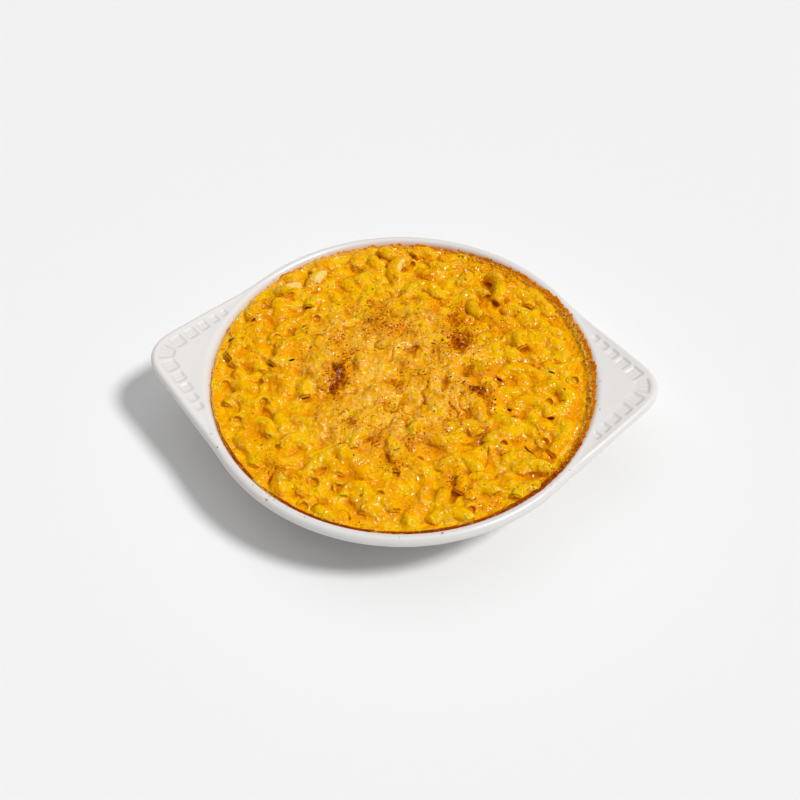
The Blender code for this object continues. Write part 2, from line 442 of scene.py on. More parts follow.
@dataclass(frozen=True)
class BakedCheese:
    """Cheese sauce baked on pasta.

    Melted cheddar gives a wet golden yellow, with peach-coloured curds where the cheese lies
    thick, pale flecks that are partly fat and partly painted glints, orange oil and ground
    paprika in ragged drifts, painted shade with some oil in the creases, amber to brown, and
    patches that toasted brown. The skin is wrinkled, so the light breaks up in small sparkles.
    """

    name: str
    golden: str = "#F8A800"
    grain: float = 1.0

    # Grains of 1.1, 1.5, 3 and 9 mm, and smooth dimples of 3 mm. Ground paprika is finer than the
    # first, and is drawn as coarse as it needs to show.
    NOISES: ClassVar[dict[str, Noise]] = {
        "tiny": Noise(880.0, 1.5, 0.55), "fine": Noise(660.0, 1.5, 0.55),
        "middle": Noise(330.0, 1.5, 0.55), "broad": Noise(110.0, 1.5, 0.55),
        "dimples": Noise(330.0, 1.0),
    }
    MARKS: ClassVar[tuple[str, ...]] = ("blanket", "hollow", "toast", "season")
    LAYERS: ClassVar[tuple[ColourLayer, ...]] = (
        # Bright cheese, curds, and pale flecks, partly fat and partly painted glints.
        ColourLayer("#FFC002", "broad", "middle", 0.6, 0.70, 0.92),
        ColourLayer("#FCC048", "middle", "blanket", 0.22, 0.62, 0.80, 0.7),
        ColourLayer("#FFE8AC", "fine", "blanket", 0.04, 0.67, 0.74, 0.85),
        # Oil, ground paprika, and its coarser specks.
        ColourLayer("#E68A00", "middle", "season", 0.5, 0.72, 0.92, 0.75),
        ColourLayer("#B86000", "tiny", "season", 0.40, 0.79, 0.87, 0.8),
        ColourLayer("#843C00", "tiny", "season", 0.22, 0.765, 0.80, 0.9),
        # Painted shade with some oil in creases: amber from the shoulders down, brown at the bottom.
        ColourLayer("#E49000", "hollow", "middle", 0.6, 0.5, 0.95, 0.8),
        ColourLayer("#9A5200", "hollow", "middle", 0.6, 0.90, 1.4, 0.85),
        # Browning with a ragged edge, and dark blisters in it.
        ColourLayer("#C46800", "toast", "middle", 0.9, 0.72, 1.2, 0.9),
        ColourLayer("#6E2A00", "toast", "fine", 1.6, 1.35, 1.8, 0.9),
    )

    def make(self) -> Material:
        """Builds the cheese's node tree: colour first, then skin."""
        material, tree = new_material(self.name)
        fields = read_fields(tree, self.NOISES, self.MARKS)
        colour = lay_colours(tree, self.golden, fields, self.LAYERS)
        # The skin under the coat is dimpled, with curds in it. The coat has dimples alone, and
        # they catch the light.
        skin = add_node(
            tree, "Math", {"operation": "MULTIPLY_ADD"},
            {0: fields["fine"], 1: 0.16, 2: fields["dimples"]},
        )
        bump = add_node(
            tree, "Bump", None,
            {"Height": skin.outputs[0], "Strength": self.grain, "Distance": 0.0016},
        )
        wet = add_node(
            tree, "Bump", None,
            {"Height": fields["dimples"], "Strength": self.grain, "Distance": 0.0022},
        )
        cheese = add_node(
            tree, "BsdfPrincipled", {"subsurface_method": "RANDOM_WALK"},
            {
                "Base Color": colour, "Roughness": 0.5, "Normal": bump.outputs["Normal"],
                "Coat Normal": wet.outputs["Normal"], "IOR": 1.45, "Specular IOR Level": 0.0,
                "Subsurface Weight": 0.4, "Subsurface Radius": (1.0, 0.55, 0.06),
                "Subsurface Scale": 0.0022, "Coat Weight": 0.6, "Coat Roughness": 0.15,
            },
        )
        add_node(tree, "OutputMaterial", None, {"Surface": cheese.outputs["BSDF"]})
        return material


@dataclass(frozen=True)
class DrySeasoning:
    """A dry ground seasoning: matt grains of one hue that vary from grain to grain."""

    name: str
    dark: str
    light: str
    roughness: float = 0.7

    def make(self) -> Material:
        """Builds a matt finish whose tone changes every 1.5 mm."""
        material, tree = new_material(self.name)
        vary = read_fields(tree, {"vary": Noise(650.0, 1.0)})["vary"]
        share = add_node(tree, "MapRange", None, {"Value": vary, "From Min": 0.3, "From Max": 0.7})
        tone = add_node(
            tree, "Mix", {"data_type": "RGBA"},
            {0: share.outputs["Result"], 6: linear(self.dark), 7: linear(self.light)},
        )
        grain = add_node(
            tree, "BsdfPrincipled", None,
            {
                "Base Color": tone.outputs[2], "Roughness": self.roughness, "IOR": 1.45,
                "Specular IOR Level": 0.0,
            },
        )
        add_node(tree, "OutputMaterial", None, {"Surface": grain.outputs["BSDF"]})
        return material


@dataclass(frozen=True)
class BrownedCrust:
    """Cheese fried brown against the hot lip: crisp, crumbly, orange-brown and oily."""

    pale: str = "#FFBE44"
    brown: str = "#EA8006"
    dark: str = "#A04400"
    roughness: float = 0.42

    # Crumbs of 1.3 mm and patches of 7 mm, and their weights in the browning.
    NOISES: ClassVar[dict[str, Noise]] = {"crumbs": Noise(800.0, 3.0), "patches": Noise(150.0, 2.0)}
    WEIGHTS: ClassVar[dict[str, float]] = {"crumbs": 0.9, "patches": 0.5}

    def make(self) -> Material:
        """Builds the crust: paler inwards, darker at the lip, and broken into crumbs.

        The heat is the mark plus the weighted noises. The colour passes from pale to brown and
        then to dark as it rises.
        """
        material, tree = new_material("browned_cheese_crust")
        fields = read_fields(tree, self.NOISES, ("char",))
        fields["heat"] = fields["char"]
        for name, weight in self.WEIGHTS.items():
            hotter = add_node(
                tree, "Math", {"operation": "MULTIPLY_ADD"},
                {0: fields[name], 1: weight, 2: fields["heat"]},
            )
            fields["heat"] = hotter.outputs[0]
        layers = (
            ColourLayer(self.brown, "heat", "crumbs", 0.0, 0.7, 1.35),
            ColourLayer(self.dark, "heat", "crumbs", 0.0, 1.35, 2.0),
        )
        colour = lay_colours(tree, self.pale, fields, layers)
        bump = add_node(
            tree, "Bump", None, {"Height": fields["crumbs"], "Strength": 0.9, "Distance": 0.0012},
        )
        crust = add_node(
            tree, "BsdfPrincipled", {"subsurface_method": "RANDOM_WALK"},
            {
                "Base Color": colour, "Subsurface Weight": 0.5,
                "Subsurface Radius": (1.0, 0.55, 0.08), "Subsurface Scale": 0.003,
                "Roughness": self.roughness, "Normal": bump.outputs["Normal"], "IOR": 1.45,
                "Specular IOR Level": 0.0, "Coat Weight": 0.3, "Coat Roughness": 0.12,
            },
        )
        add_node(tree, "OutputMaterial", None, {"Surface": crust.outputs["BSDF"]})
        return material


# ---- The dish ----


@dataclass
class GratinDish:
    """A round white gratin dish with a rolled lip, two flat ears and a foot ring.

    The shell is one closed grid. Its columns follow the dish's outline, close together round
    the ears. Its rows run from the middle of the floor up the inside, over the lip, out across
    the ear, round the edge bead, back underneath, down the outer wall and under the foot.
    """

    reach: float
    rim_radius: float
    ear_top: float
    rim_height: float = 40.0
    lip_half: float = 2.7
    lip_rise: float = 3.2
    floor_height: float = 6.6
    floor_radius: float = 58.0
    corner_radius: float = 16.0
    tip_radius: float = 18.0
    root_inset: float = 1.0
    bead_half: float = 2.5
    ear_thickness: float = 5.0
    fine_step: float = 0.62
    coarse_step: float = 3.0
    pocket_pitch: tuple[float, float] = (9.8, 6.4)
    pocket_length: tuple[float, float] = (8.6, 5.0)
    pocket_land: float = 2.4
    pocket_depth: float = 0.7
    edge_bead: float = 4.4
    finish: StonewareGlaze = field(default_factory=StonewareGlaze)

    @classmethod
    def from_model(cls) -> "GratinDish":
        """Takes the reach of the ears, the rim's radius and the ears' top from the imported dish."""
        _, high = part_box(Node.DISH.value)
        return cls(reach=high.x / MM, rim_radius=high.y / MM, ear_top=high.z / MM)

    @property
    def crest(self) -> float:
        """The radius at which the lip is highest."""
        return self.rim_radius - self.lip_half

    @property
    def flank_angle(self) -> float:
        """The angle from an ear's axis at which its straight flank leaves the round tip."""
        span = self.reach - self.tip_radius
        return math.acos((self.rim_radius - self.root_inset - self.tip_radius) / span)

    def inner_profile(self) -> Array:
        """Radius and height up the inside: floor, corner arc, slanting wall, lip's inner arc."""
        turn = np.radians(np.linspace(-90.0, -46.0, 7))
        corner = [self.floor_radius, self.floor_height + self.corner_radius]
        corner = corner + polar(self.corner_radius, turn)
        shoulder = self.rim_height - self.lip_rise
        wall_end = np.array([self.crest - self.lip_half, shoulder])
        wall = corner[-1] + (wall_end - corner[-1]) * np.linspace(0.0, 1.0, 7)[1:-1, None]
        turn = np.radians(np.linspace(180.0, 139.0, 6))
        lip = [self.crest, shoulder] + polar(1.0, turn) * [self.lip_half, self.lip_rise]
        floor = np.array([[20.0, self.floor_height], [42.0, self.floor_height]])
        return np.concatenate([floor, corner, wall, lip])

    def wall_radius(self, height: Array) -> Array:
        """The cavity's radius at each height, read off the inner profile."""
        profile = self.inner_profile()[2:]
        return np.interp(height, profile[:, 1], profile[:, 0])

    def lip_height(self, radius: Array) -> Array:
        """The height of the lip's rounded top at each radius: an ellipse about the crest."""
        share = np.clip((radius - self.crest) / self.lip_half, -1.0, 1.0)
        return self.rim_height - self.lip_rise + self.lip_rise * np.sqrt(1.0 - share * share)

    def outline(self) -> tuple[Array, Array]:
        """The dish's plan and its outward normals.

        A quarter is the tip's arc, the straight flank and the rim's arc. It is mirrored three
        times, softened where the flank meets the rim, and dealt out again so that points stand
        close round the ears and wide along the plain rim.

        Returns:
            Points and unit normals, shape (n, 2) each, anticlockwise.
        """
        flank, centre = self.flank_angle, self.reach - self.tip_radius
        turn = np.linspace(0.0, flank, 60)
        tip = np.array([centre, 0.0]) + polar(self.tip_radius, turn)
        inset = self.rim_radius - self.root_inset
        length = math.sqrt(centre**2 - (inset - self.tip_radius) ** 2)
        run = np.linspace(0.0, length - math.sqrt(self.rim_radius**2 - inset**2), 160)[1:, None]
        line = tip[-1] + run * np.array([-math.sin(flank), math.cos(flank)])
        turn = np.linspace(math.atan2(line[-1, 1], line[-1, 0]), math.pi / 2.0, 160)[1:]
        quarter = np.concatenate([tip, line, polar(self.rim_radius, turn)])
        half = np.concatenate([quarter, (quarter * [-1.0, 1.0])[::-1][1:]])
        whole = np.concatenate([half, (half * [1.0, -1.0])[::-1][1:]])
        travel = np.concatenate([[0.0], np.cumsum(np.linalg.norm(np.diff(whole, axis=0), axis=1))])
        fine = 0.25
        even = np.linspace(0.0, travel[-1], int(travel[-1] / fine), endpoint=False)
        dense = np.stack([np.interp(even, travel, axis) for axis in whole.T], axis=-1)
        window = np.hanning(111)[1:-1]
        window /= window.sum()
        pad = len(window) // 2
        rolled = np.concatenate([dense[-pad:], dense, dense[:pad]])
        dense = np.stack([np.convolve(axis, window, "valid") for axis in rolled.T], axis=-1)
        azimuth = np.degrees(np.arctan2(np.abs(dense[:, 1]), np.abs(dense[:, 0])))
        spacing = self.fine_step + (self.coarse_step - self.fine_step) * ease(42.0, 52.0, azimuth)
        count = np.concatenate([[0.0], np.cumsum(fine / spacing)])
        wanted = np.linspace(0.0, count[-1], int(count[-1]), endpoint=False)
        closed = np.concatenate([dense, dense[:1]])
        points = np.stack([np.interp(wanted, count, axis) for axis in closed.T], axis=-1)
        along = unit(np.roll(points, -1, axis=0) - np.roll(points, 1, axis=0))
        return points, np.stack([along[:, 1], -along[:, 0]], axis=-1)

    def ear_rise(self, plan: Array) -> Array:
        """How far the ear's top has risen over the rim: in step with the way out along X."""
        start = self.rim_radius - 12.0
        share = np.clip((np.abs(plan[..., 0]) - start) / (self.reach - start), 0.0, 1.0)
        return (self.ear_top - self.rim_height) * share

    def pockets(self, plan: Array) -> Array:
        """How deep the pressed pockets are at each place of an ear, from 0 to 1.

        A place is read as its distance in from the edge and its travel along a line inside the
        edge. Each pocket is an eased window in both, long at the tip and short at the ends.

        Args:
            plan: Places in plan, shape (..., 2).

        Returns:
            One share for each place.
        """
        flank, centre = self.flank_angle, self.reach - self.tip_radius
        x, y = np.abs(plan[..., 0]) - centre, np.abs(plan[..., 1])
        turn = np.arctan2(y, x)
        outward = x * math.cos(flank) + y * math.sin(flank)
        onward = -x * math.sin(flank) + y * math.cos(flank)
        on_tip = turn < flank
        inward = self.tip_radius - np.where(on_tip, np.hypot(x, y), outward)
        middle = self.tip_radius - self.edge_bead - self.pocket_length[0] / 2.0
        travel = np.where(on_tip, middle * turn, middle * flank + onward) * np.sign(plan[..., 1])
        depth = np.zeros(plan.shape[:-1])
        place = 0.0
        sizes = [np.linspace(*ends, 6) for ends in (self.pocket_pitch, self.pocket_length)]
        for number, (pitch, length) in enumerate(zip(*sizes)):
            place += pitch if number else 0.0
            half = (pitch - self.pocket_land) / 2.0
            lengthwise = ease(-0.3, 1.5, inward - self.edge_bead)
            lengthwise = lengthwise * ease(-0.3, 1.9, self.edge_bead + length - inward)
            for side in (1.0, -1.0) if number else (1.0,):
                across = ease(-0.5, 1.0, half - np.abs(travel - side * place))
                depth = np.maximum(depth, across * lengthwise * (0.9 + 0.1 * np.sin(travel * 2.9)))
        return depth

    def build(self) -> Object:
        """Builds the shell row by row, closes it at both poles and glazes it."""
        edge, normal = self.outline()
        count = len(edge)
        heading = unit(edge)
        crest = self.crest * heading
        outer = np.hypot(edge[:, 0], edge[:, 1])
        near_ear = ease(0.0, 9.0, outer - self.rim_radius)
        half = self.lip_half + (self.bead_half - self.lip_half) * near_ear
        drop = self.lip_rise + (self.bead_half - self.lip_rise) * near_ear
        bead = edge - normal * half[:, None]
        width = np.linalg.norm(bead - crest, axis=1)
        top = self.rim_height + self.ear_rise(bead)

        profiles = (self.inner_profile(), self._foot())
        inside, under = (raised(heading * part[:, :1, None], part[:, 1:]) for part in profiles)
        upper, pool = self._upper(heading, crest, bead, normal, half, drop, width, near_ear)
        turn = np.radians(np.linspace(45.0, -60.0, 12)[1:, None])
        rounded = bead + normal * (half * np.cos(turn))[..., None]
        rounded = raised(rounded, top - drop * (1.0 - np.sin(turn)))
        lower = self._lower(rounded[-1], heading, near_ear)
        rows = np.concatenate([inside, upper, rounded, lower, under])
        total = len(rows)
        poles = [[0.0, 0.0, self.floor_height], [0.0, 0.0, rows[-1, 0, 2]]]
        points = np.concatenate([rows.reshape(-1, 3), poles])
        marks = {name: np.zeros((total, count)) for name in ("pool", "bare")}
        marks["pool"][len(inside) : len(inside) + len(pool)] = pool
        marks["bare"][-len(under) :] = under[..., 2] < 0.35
        ring = np.arange(count)
        floor, foot = total * count, total * count + 1
        triangles = [fan(floor, ring, True), fan(foot, ring + (total - 1) * count, False)]
        piece = make_piece(
            "gratin_dish_glazed", points, grid_quads(total, count), np.concatenate(triangles),
            {name: np.append(mark.ravel(), [0, 0]) for name, mark in marks.items()},
        )
        return place_piece(piece, Slot.GLAZE, self.finish.make(), Node.DISH)

    def _upper(
        self, heading: Array, crest: Array, bead: Array, normal: Array, half: Array, drop: Array,
        width: Array, near_ear: Array,
    ) -> tuple[Array, Array]:
        """The top from the lip's inner shoulder to the edge bead's outer shoulder.

        The path is an eighth of a turn over the lip, a straight run across the ear, and an
        eighth of a turn over the bead. Rows are dealt out evenly along it, so on the plain rim
        the same rows round the lip. The ear sags a little between lip and bead, and the pockets
        are pressed into it.

        Returns:
            Places and how much glaze has pooled, row by row.
        """
        bend = 2.3
        share = np.linspace(0.0, 1.0, 74)[:, None]
        path = share * (2.0 * bend + width)
        first = np.clip(path / bend, 0.0, 1.0)
        across = np.clip(path - bend, 0.0, width) / np.maximum(width, 1e-6)
        last = np.clip((path - bend - width) / bend, 0.0, 1.0)
        inner, rim = np.radians(135.0 - 45.0 * first), np.radians(90.0 - 45.0 * last)
        plan = heading * (self.lip_half * np.cos(inner))[..., None] + crest
        plan = plan + (bead - crest) * across[..., None]
        plan = plan + normal * (half * np.cos(rim))[..., None]
        radius = np.hypot(plan[..., 0], plan[..., 1])
        flat = self.ear_rise(bead + (plan - bead) * (last[..., None] < 1e-6))
        height = self.rim_height - self.lip_rise * (1.0 - np.sin(inner))
        height = height + flat * ease(self.crest - self.lip_half, self.crest + 1.5, radius)
        height = height - drop * (1.0 - np.sin(rim))
        sag = 0.45 * near_ear * np.sin(np.pi * across) ** 0.7
        pressed = self.pockets(plan) * (near_ear > 0.02) * ease(0.0, 3.0, width)
        height = height - sag - self.pocket_depth * pressed
        return raised(plan, height), 4.0 * pressed * (1.0 - pressed)

    def _lower(self, edge: Array, heading: Array, near_ear: Array) -> Array:
        """The underside from the edge bead back to the wall, filleted where it meets the wall.

        On the plain rim it is the lip's slanting underside. On an ear it runs level under the
        plate and then drops into the wall.

        Returns:
            Places, row by row.
        """
        start, start_height = edge[:, :2], edge[:, 2]
        wall, wall_height = heading * (self.rim_radius - 3.7), self.rim_height - 6.9
        share = np.linspace(0.0, 1.0, 17)[1:, None]
        plan = start + (wall - start) * share[..., None]
        line = start_height + (wall_height - start_height) * share
        from_wall = np.linalg.norm(plan - wall, axis=-1)
        from_edge = np.linalg.norm(plan - start, axis=-1)
        under = self.rim_height + self.ear_rise(plan) - self.ear_thickness
        fillet = bell(from_wall, 2.6)
        ear = under * (1.0 - fillet) + wall_height * fillet + 0.33 * bell(from_edge, 1.5)
        return raised(plan, line + (ear - line) * near_ear)

    def _foot(self) -> Array:
        """Radius and height down the outer wall, round the foot ring and under the floor."""
        share = np.linspace(0.0, 1.0, 9)[1:, None]
        top, bottom = np.array([96.3, 33.1]), np.array([70.2, 4.2])
        wall = top + share * (bottom - top)
        wall[:, 0] += 0.7 * np.sin(np.pi * share[:, 0])
        foot = [[69.2, 2.7], [68.6, 1.3], [68.0, 0.45], [67.2, 0.0], [65.0, 0.0], [62.8, 0.0]]
        foot += [[62.1, 0.4], [61.5, 1.2], [60.4, 1.6], [58.0, 1.6], [40.0, 1.6], [16.0, 1.6]]
        return np.concatenate([wall, np.array(foot)])


# ---- Elbow macaroni ----


@dataclass
class Bends:
    """A batch of bent tubes, each an arc of a circle with a round section and a bore.

    The arc of tube i runs from minus to plus half_angle[i] about centre[i], in the plane of
    the unit vectors middle[i], which points to the arc's middle, and onward[i].
    """

    centre: Array
    middle: Array
    onward: Array
    half_angle: Array
    bend_radius: Array
    tube_radius: Array
    bore_depth: Array

    def __len__(self) -> int:
        """How many tubes there are."""
        return len(self.centre)

    @property
    def normal(self) -> Array:
        """The normal of each arc's plane."""
        return np.cross(self.middle, self.onward)

    def line(self, shares: Array) -> Array:
        """Places on each centreline: shares run from -1 at one end to 1 at the other."""
        turn = (shares[None, :] * self.half_angle[:, None])[..., None]
        spoke = np.cos(turn) * self.middle[:, None] + np.sin(turn) * self.onward[:, None]
        return self.centre[:, None] + self.bend_radius[:, None, None] * spoke

    def only(self, chosen: Array) -> "Bends":
        """The tubes that a mask or list of numbers picks."""
        return Bends(*(getattr(self, name)[chosen] for name in self.__dataclass_fields__))

    @staticmethod
    def join(batches: list["Bends"]) -> "Bends":
        """One batch of several."""
        names = Bends.__dataclass_fields__
        columns = ([getattr(batch, name) for batch in batches] for name in names)
        return Bends(*(np.concatenate(column) for column in columns))

    @staticmethod
    def through(triples: Array, tube_radius: float, bore_depth: Array) -> "Bends":
        """Arcs through three places each: one end, somewhere between, and the other end.

        The centre is the triangle's circumcentre, and the arc is turned so that its middle lies
        halfway between the ends.

        Args:
            triples: Places, shape (n, 3, 3).
            tube_radius: Outer radius of the tubes.
            bore_depth: How deep each end is open, shape (n, 2).

        Returns:
            The tubes.
        """
        first, between, last = triples[:, 0], triples[:, 1], triples[:, 2]
        u, v = first - between, last - between
        cross = np.cross(u, v)
        uu, vv = (u * u).sum(-1, keepdims=True), (v * v).sum(-1, keepdims=True)
        centre = np.cross(uu * v - vv * u, cross) / (2.0 * (cross * cross).sum(-1, keepdims=True))
        centre = between + centre
        middle = unit(between - centre)
        onward = np.cross(unit(cross), middle)
        onward *= np.sign(((last - centre) * onward).sum(-1, keepdims=True))
        ends = []
        for end in (first, last):
            arm = end - centre
            ends.append(np.arctan2((arm * onward).sum(-1), (arm * middle).sum(-1)))
        turn = ((ends[0] + ends[1]) / 2.0)[:, None]
        turned = np.cos(turn) * middle + np.sin(turn) * onward
        onward = -np.sin(turn) * middle + np.cos(turn) * onward
        return Bends(
            centre, turned, onward, np.abs(ends[1] - ends[0]) / 2.0,
            np.linalg.norm(between - centre, axis=-1),
            np.full(len(triples), tube_radius), bore_depth,
        )

    @staticmethod
    def from_ends(
        end: Array, opening: Array, curl: Array, sizes: "MacaroniSizes", bore_depth: Array,
    ) -> "Bends":
        """Arcs that start at an end which opens one way and curl off another way.

        Args:
            end: The middle of each open end, shape (n, 3).
            opening: Unit vectors out of the openings.
            curl: Unit vectors to which the tubes curl.
            sizes: The pasta's sizes.
            bore_depth: How deep each end is open, shape (n, 2).

        Returns:
            The tubes.
        """
        toward = unit(curl - (curl * opening).sum(-1, keepdims=True) * opening)
        half = math.radians(sizes.bend_angle / 2.0)
        middle = -math.cos(half) * toward - math.sin(half) * opening
        onward = math.sin(half) * toward - math.cos(half) * opening
        count = len(end)
        return Bends(
            end + sizes.bend_radius * toward, middle, onward, np.full(count, half),
            np.full(count, sizes.bend_radius), np.full(count, sizes.tube_radius), bore_depth,
        )


@dataclass(frozen=True)
class MacaroniSizes:
    """A cooked elbow macaroni, in mm."""

    tube_radius: float = 3.55
    bore_radius: float = 1.8
    bend_radius: float = 7.1
    bend_angle: float = 150.0


@dataclass
class Heap:
    """The fill: where its surface lies, where the elbows lie in it, and where it browned."""

    dish: GratinDish
    sizes: MacaroniSizes = field(default_factory=MacaroniSizes)
    fill: float = 35.5
    crown: float = 1.4
    seed: int = 7

    # Hollows and swellings of the cheese bed: x, y, radius, depth.
    HOLLOWS = (
        (27, 24, 7, 3.6), (24, 38, 6, 2.6), (-69, -15, 6, 2), (46, 2, 6, 2), (-6, 70, 5, 1.6),
        (35, 66, 6, 2), (49, 41, 5, 1.6), (-58, 21, 5, 1.6), (5, -66, 7, 1.4), (30, -68, 6, 1.6),
        (-41, -55, 6, 1.2), (33, -16, 16, -2.2), (-18, -30, 15, -1.4), (0, 28, 18, -1.6),
        (-4, -6, 12, 1), (12, -44, 13, -1.5),
    )
    # Elbows that lie along the top: end, middle and end, each x, y and height over the bed.
    ARCHES = (
        (-64, 16, 1.2, -63, 27, 2, -51, 32, 0.5), (-42, 34, 1, -36, 28, 2.2, -38, 18, 0),
        (-60, 12, -0.5, -54, 18, 1.2, -49, 12, -0.5), (-85, -1, 0.3, -78, 3, 1.5, -70, -4, 0),
        (-83, -27, 0.4, -76, -22, 1.4, -70, -28, 0.2), (-68, -10, 0.3, -60, -9, 1.8, -56, -18, 0.4),
        (-73, 26, 0.8, -79, 22, 1.4, -78, 12, 0), (-8, 66, 1, -11, 75, 3.6, -3, 81, 2.2),
        (40, 74, 3.2, 46, 64, 4.8, 44, 53, 3.4), (39, 57, 3, 33, 60, 3.2, 26, 54, 0.8),
        (50, 61, 0.6, 57, 62, 1.6, 61, 54, 0.4), (-3, 57, 0.6, 6, 63, 2.4, 14, 54, 1),
        (48, 47, 0.6, 58, 49, 1.8, 66, 42, 0.4), (27, 37, 0.6, 34, 33, 2.2, 40, 38, 1),
        (48, 3, 1.4, 57, 9, 2.2, 68, 4, 0.6), (84, 20, 0, 80, 12, 1, 70, 15, 0.3),
        (69, -4, 0.8, 76, -1, 2.2, 81, -10, 0.8), (55, -18, 1.6, 64, -12, 2.8, 74, -20, 1.4),
        (45, -40, 0.6, 49, -34, 1.8, 57, -36, 0.8), (59, -56, 0.6, 66, -50, 2.2, 74, -54, 0.6),
        (59, -70, 0.6, 64, -63, 1.8, 70, -62, 0.2), (74, -42, 0.4, 79, -34, 1.6, 82, -26, 0.2),
        (21, -86, 0.4, 30, -80, 2.2, 39, -84, 0.4), (38, -72, 0.6, 42, -65, 2, 50, -68, 0.6),
        (22, -36, 0.4, 30, -30, 1.8, 40, -34, 0.6), (23, -57, 0.4, 31, -50, 2, 41, -56, 0.6),
        (3, -60, 0.6, 9, -54, 1.8, 15, -61, 0.6), (-24, -64, 0.6, -29, -57, 1.8, -37, -63, 0.6),
        (-20, -76, 0.6, -15, -70, 1.8, -9, -77, 0.4), (-51, -62, 0.6, -57, -57, 1.8, -64, -62, 0.2),
        (-53, -51, 0.6, -47, -46, 1.6, -40, -51, 0.6),
        (-71, -38, 0.4, -64, -36, 1.8, -60, -45, 0.6),
        (-38, -43, 0.4, -31, -37, 1.6, -23, -41, 0.4),
        (-31, -82, 0.4, -25, -87, 0.8, -17, -85, 0.2), (-9, -84, 0.4, -4, -77, 1.6, 4, -82, 0.4),
        (60, 66, 0.2, 67, 58, 1.4, 73, 48, 0.2), (-30, 62, 0.4, -22, 68, 1.4, -15, 62, 0.4),
        (-46, 56, 0.2, -38, 62, 1, -32, 54, 0.4), (8, 82, 0.2, 17, 79, 1.4, 24, 84, 0.2),
        (64, 26, 0.6, 72, 30, 1.6, 78, 24, 0.2),
    )
    # Elbows with one end up: x, y, height of the end over the bed, the opening's heading and
    # elevation in degrees, and the side to which the tube curls: 1 for the left, -1 for the right.
    RINGS = (
        (-47, 32, 3.2, -80, 50, 1), (85, 3, 2.8, -95, 62, -1), (-34, -70, 2.8, -100, 55, 1),
        (-65, 17, 3, -75, 48, -1), (71, -36, 2, -100, 50, -1), (52, -40, 2.2, -60, 45, -1),
        (73, -11, 1.8, -70, 50, 1), (59, -66, 1.6, -80, 45, -1), (49, 41, 1.6, -80, 40, 1),
        (-22, -72, 2, -90, 50, 1), (-3, -74, 2, -90, 50, 1), (3, -61, 1.6, -80, 55, -1),
        (-65, -24, 1.8, -60, 40, -1), (-86, -14, 1.4, -60, 50, 1), (39, -78, 1.6, -70, 40, -1),
        (13, -53, 1.6, -80, 50, 1), (-76, -36, 1.6, -80, 45, 1), (12, -88, 1, -90, 45, 1),
        (-37, -83, 1, -90, 50, 1), (-2, 79, 2.2, -90, 60, -1), (-11, -76, 1.4, -80, 50, -1),
    )
    # Browned patches: x, y, length, width, heading of the length in degrees, strength.
    TOASTED = (
        (-31, -2, 7.5, 4, 100, 0.95), (-32, -14, 6, 3.8, 80, 0.95), (37, -10, 3.4, 2.6, 0, 1.1),
        (-31, -8, 6, 3.4, 90, 0.85), (24, 40, 11, 5, 100, 0.55), (27.5, 24, 11, 5.5, 92, 0.7),
        (18, 46, 8, 4, 10, 0.45), (-1, -8, 5, 3.5, 0, 0.55), (33, 5, 5, 3, 0, 0.5),
        (-4, -23, 4, 3, 0, 0.5), (-21, -34, 7, 6, 0, 0.45), (-9, -43, 8, 4, 0, 0.5),
        (-6, -55, 8, 7, 0, 0.35), (2, -58, 2, 4, 0, 0.6), (17, -36, 6, 4, 0, 0.4),
        (41, -30, 6, 5, 0, 0.4), (32, -63, 5, 7, 60, 0.55), (-34, 19, 8, 7, 0, 0.35),
        (-47, 6, 9, 4, 0, 0.35), (-17, 48, 8, 4, 0, 0.35), (2, 46, 8, 4, 0, 0.35),
        (41, 34, 8, 4, -20, 0.45), (5, 73, 4, 3, 0, 0.6), (38, 85, 14, 4.5, -20, 0.5),
        (50, 74, 10, 5, -35, 0.45), (-76, 44, 5, 5, 0, 0.4), (-80, 25, 8, 4, 60, 0.35),
        (-53, -65, 2.4, 2, 0, 0.6), (-42, -26, 6, 5, 0, 0.3), (-34, 59, 6, 3, 0, 0.35),
        (45, -75, 7, 4, 30, 0.35),
    )

    def blanket(self, x: Array, y: Array) -> Array:
        """How thickly cheese covers the pasta, 0 to 1: all over the middle, thin by the rim."""
        reach = np.hypot(x + 2.0, y + 4.0) + 11.0 * lattice_noise(on_level(x, y), 21.0, self.seed)
        return 1.0 - ease(34.0, 62.0, reach)

    def rim_crumble(self, azimuth: Array) -> Array:
        """How wide and crumbly the crust is, 0 to 1: most on the right and right back."""
        right = np.cos(azimuth - math.radians(12.0))
        return ease(0.25, 0.95, right + 0.12 * np.sin(5.0 * azimuth))

    def bed(self, x: Array, y: Array) -> Array:
        """Height of the cheese between the elbows.

        A low crown, waves of 16 mm and 7 mm, and the listed hollows as bell curves. At the rim
        the cheese climbs: by a square of the radius where the crust is wide, and elsewhere by a
        soft step with a faint groove.
        """
        places, radius = on_level(x, y), np.hypot(x, y)
        height = self.fill + self.crown * (1.0 - (radius / FILL_RADIUS) ** 2)
        inner = 1.0 - 0.8 * ease(82.0, 93.0, radius)
        height = height + 0.8 * inner * lattice_noise(places, 16.0, self.seed + 1)
        height = height + 0.45 * inner * lattice_noise(places, 7.0, self.seed + 2)
        for hx, hy, size, depth in self.HOLLOWS:
            height = height - depth * np.exp(-((x - hx) ** 2 + (y - hy) ** 2) / (0.6 * size**2))
        crumble = self.rim_crumble(np.arctan2(y, x))
        step = 2.0 * ease(88.5, 93.5, radius)
        climb = 2.3 * np.clip((radius - 87.0) / 5.2, 0.0, 1.1) ** 2
        height = height + step + crumble * (climb - step)
        return height - 0.3 * (1.0 - crumble) * bell(radius - 92.0, 0.7)

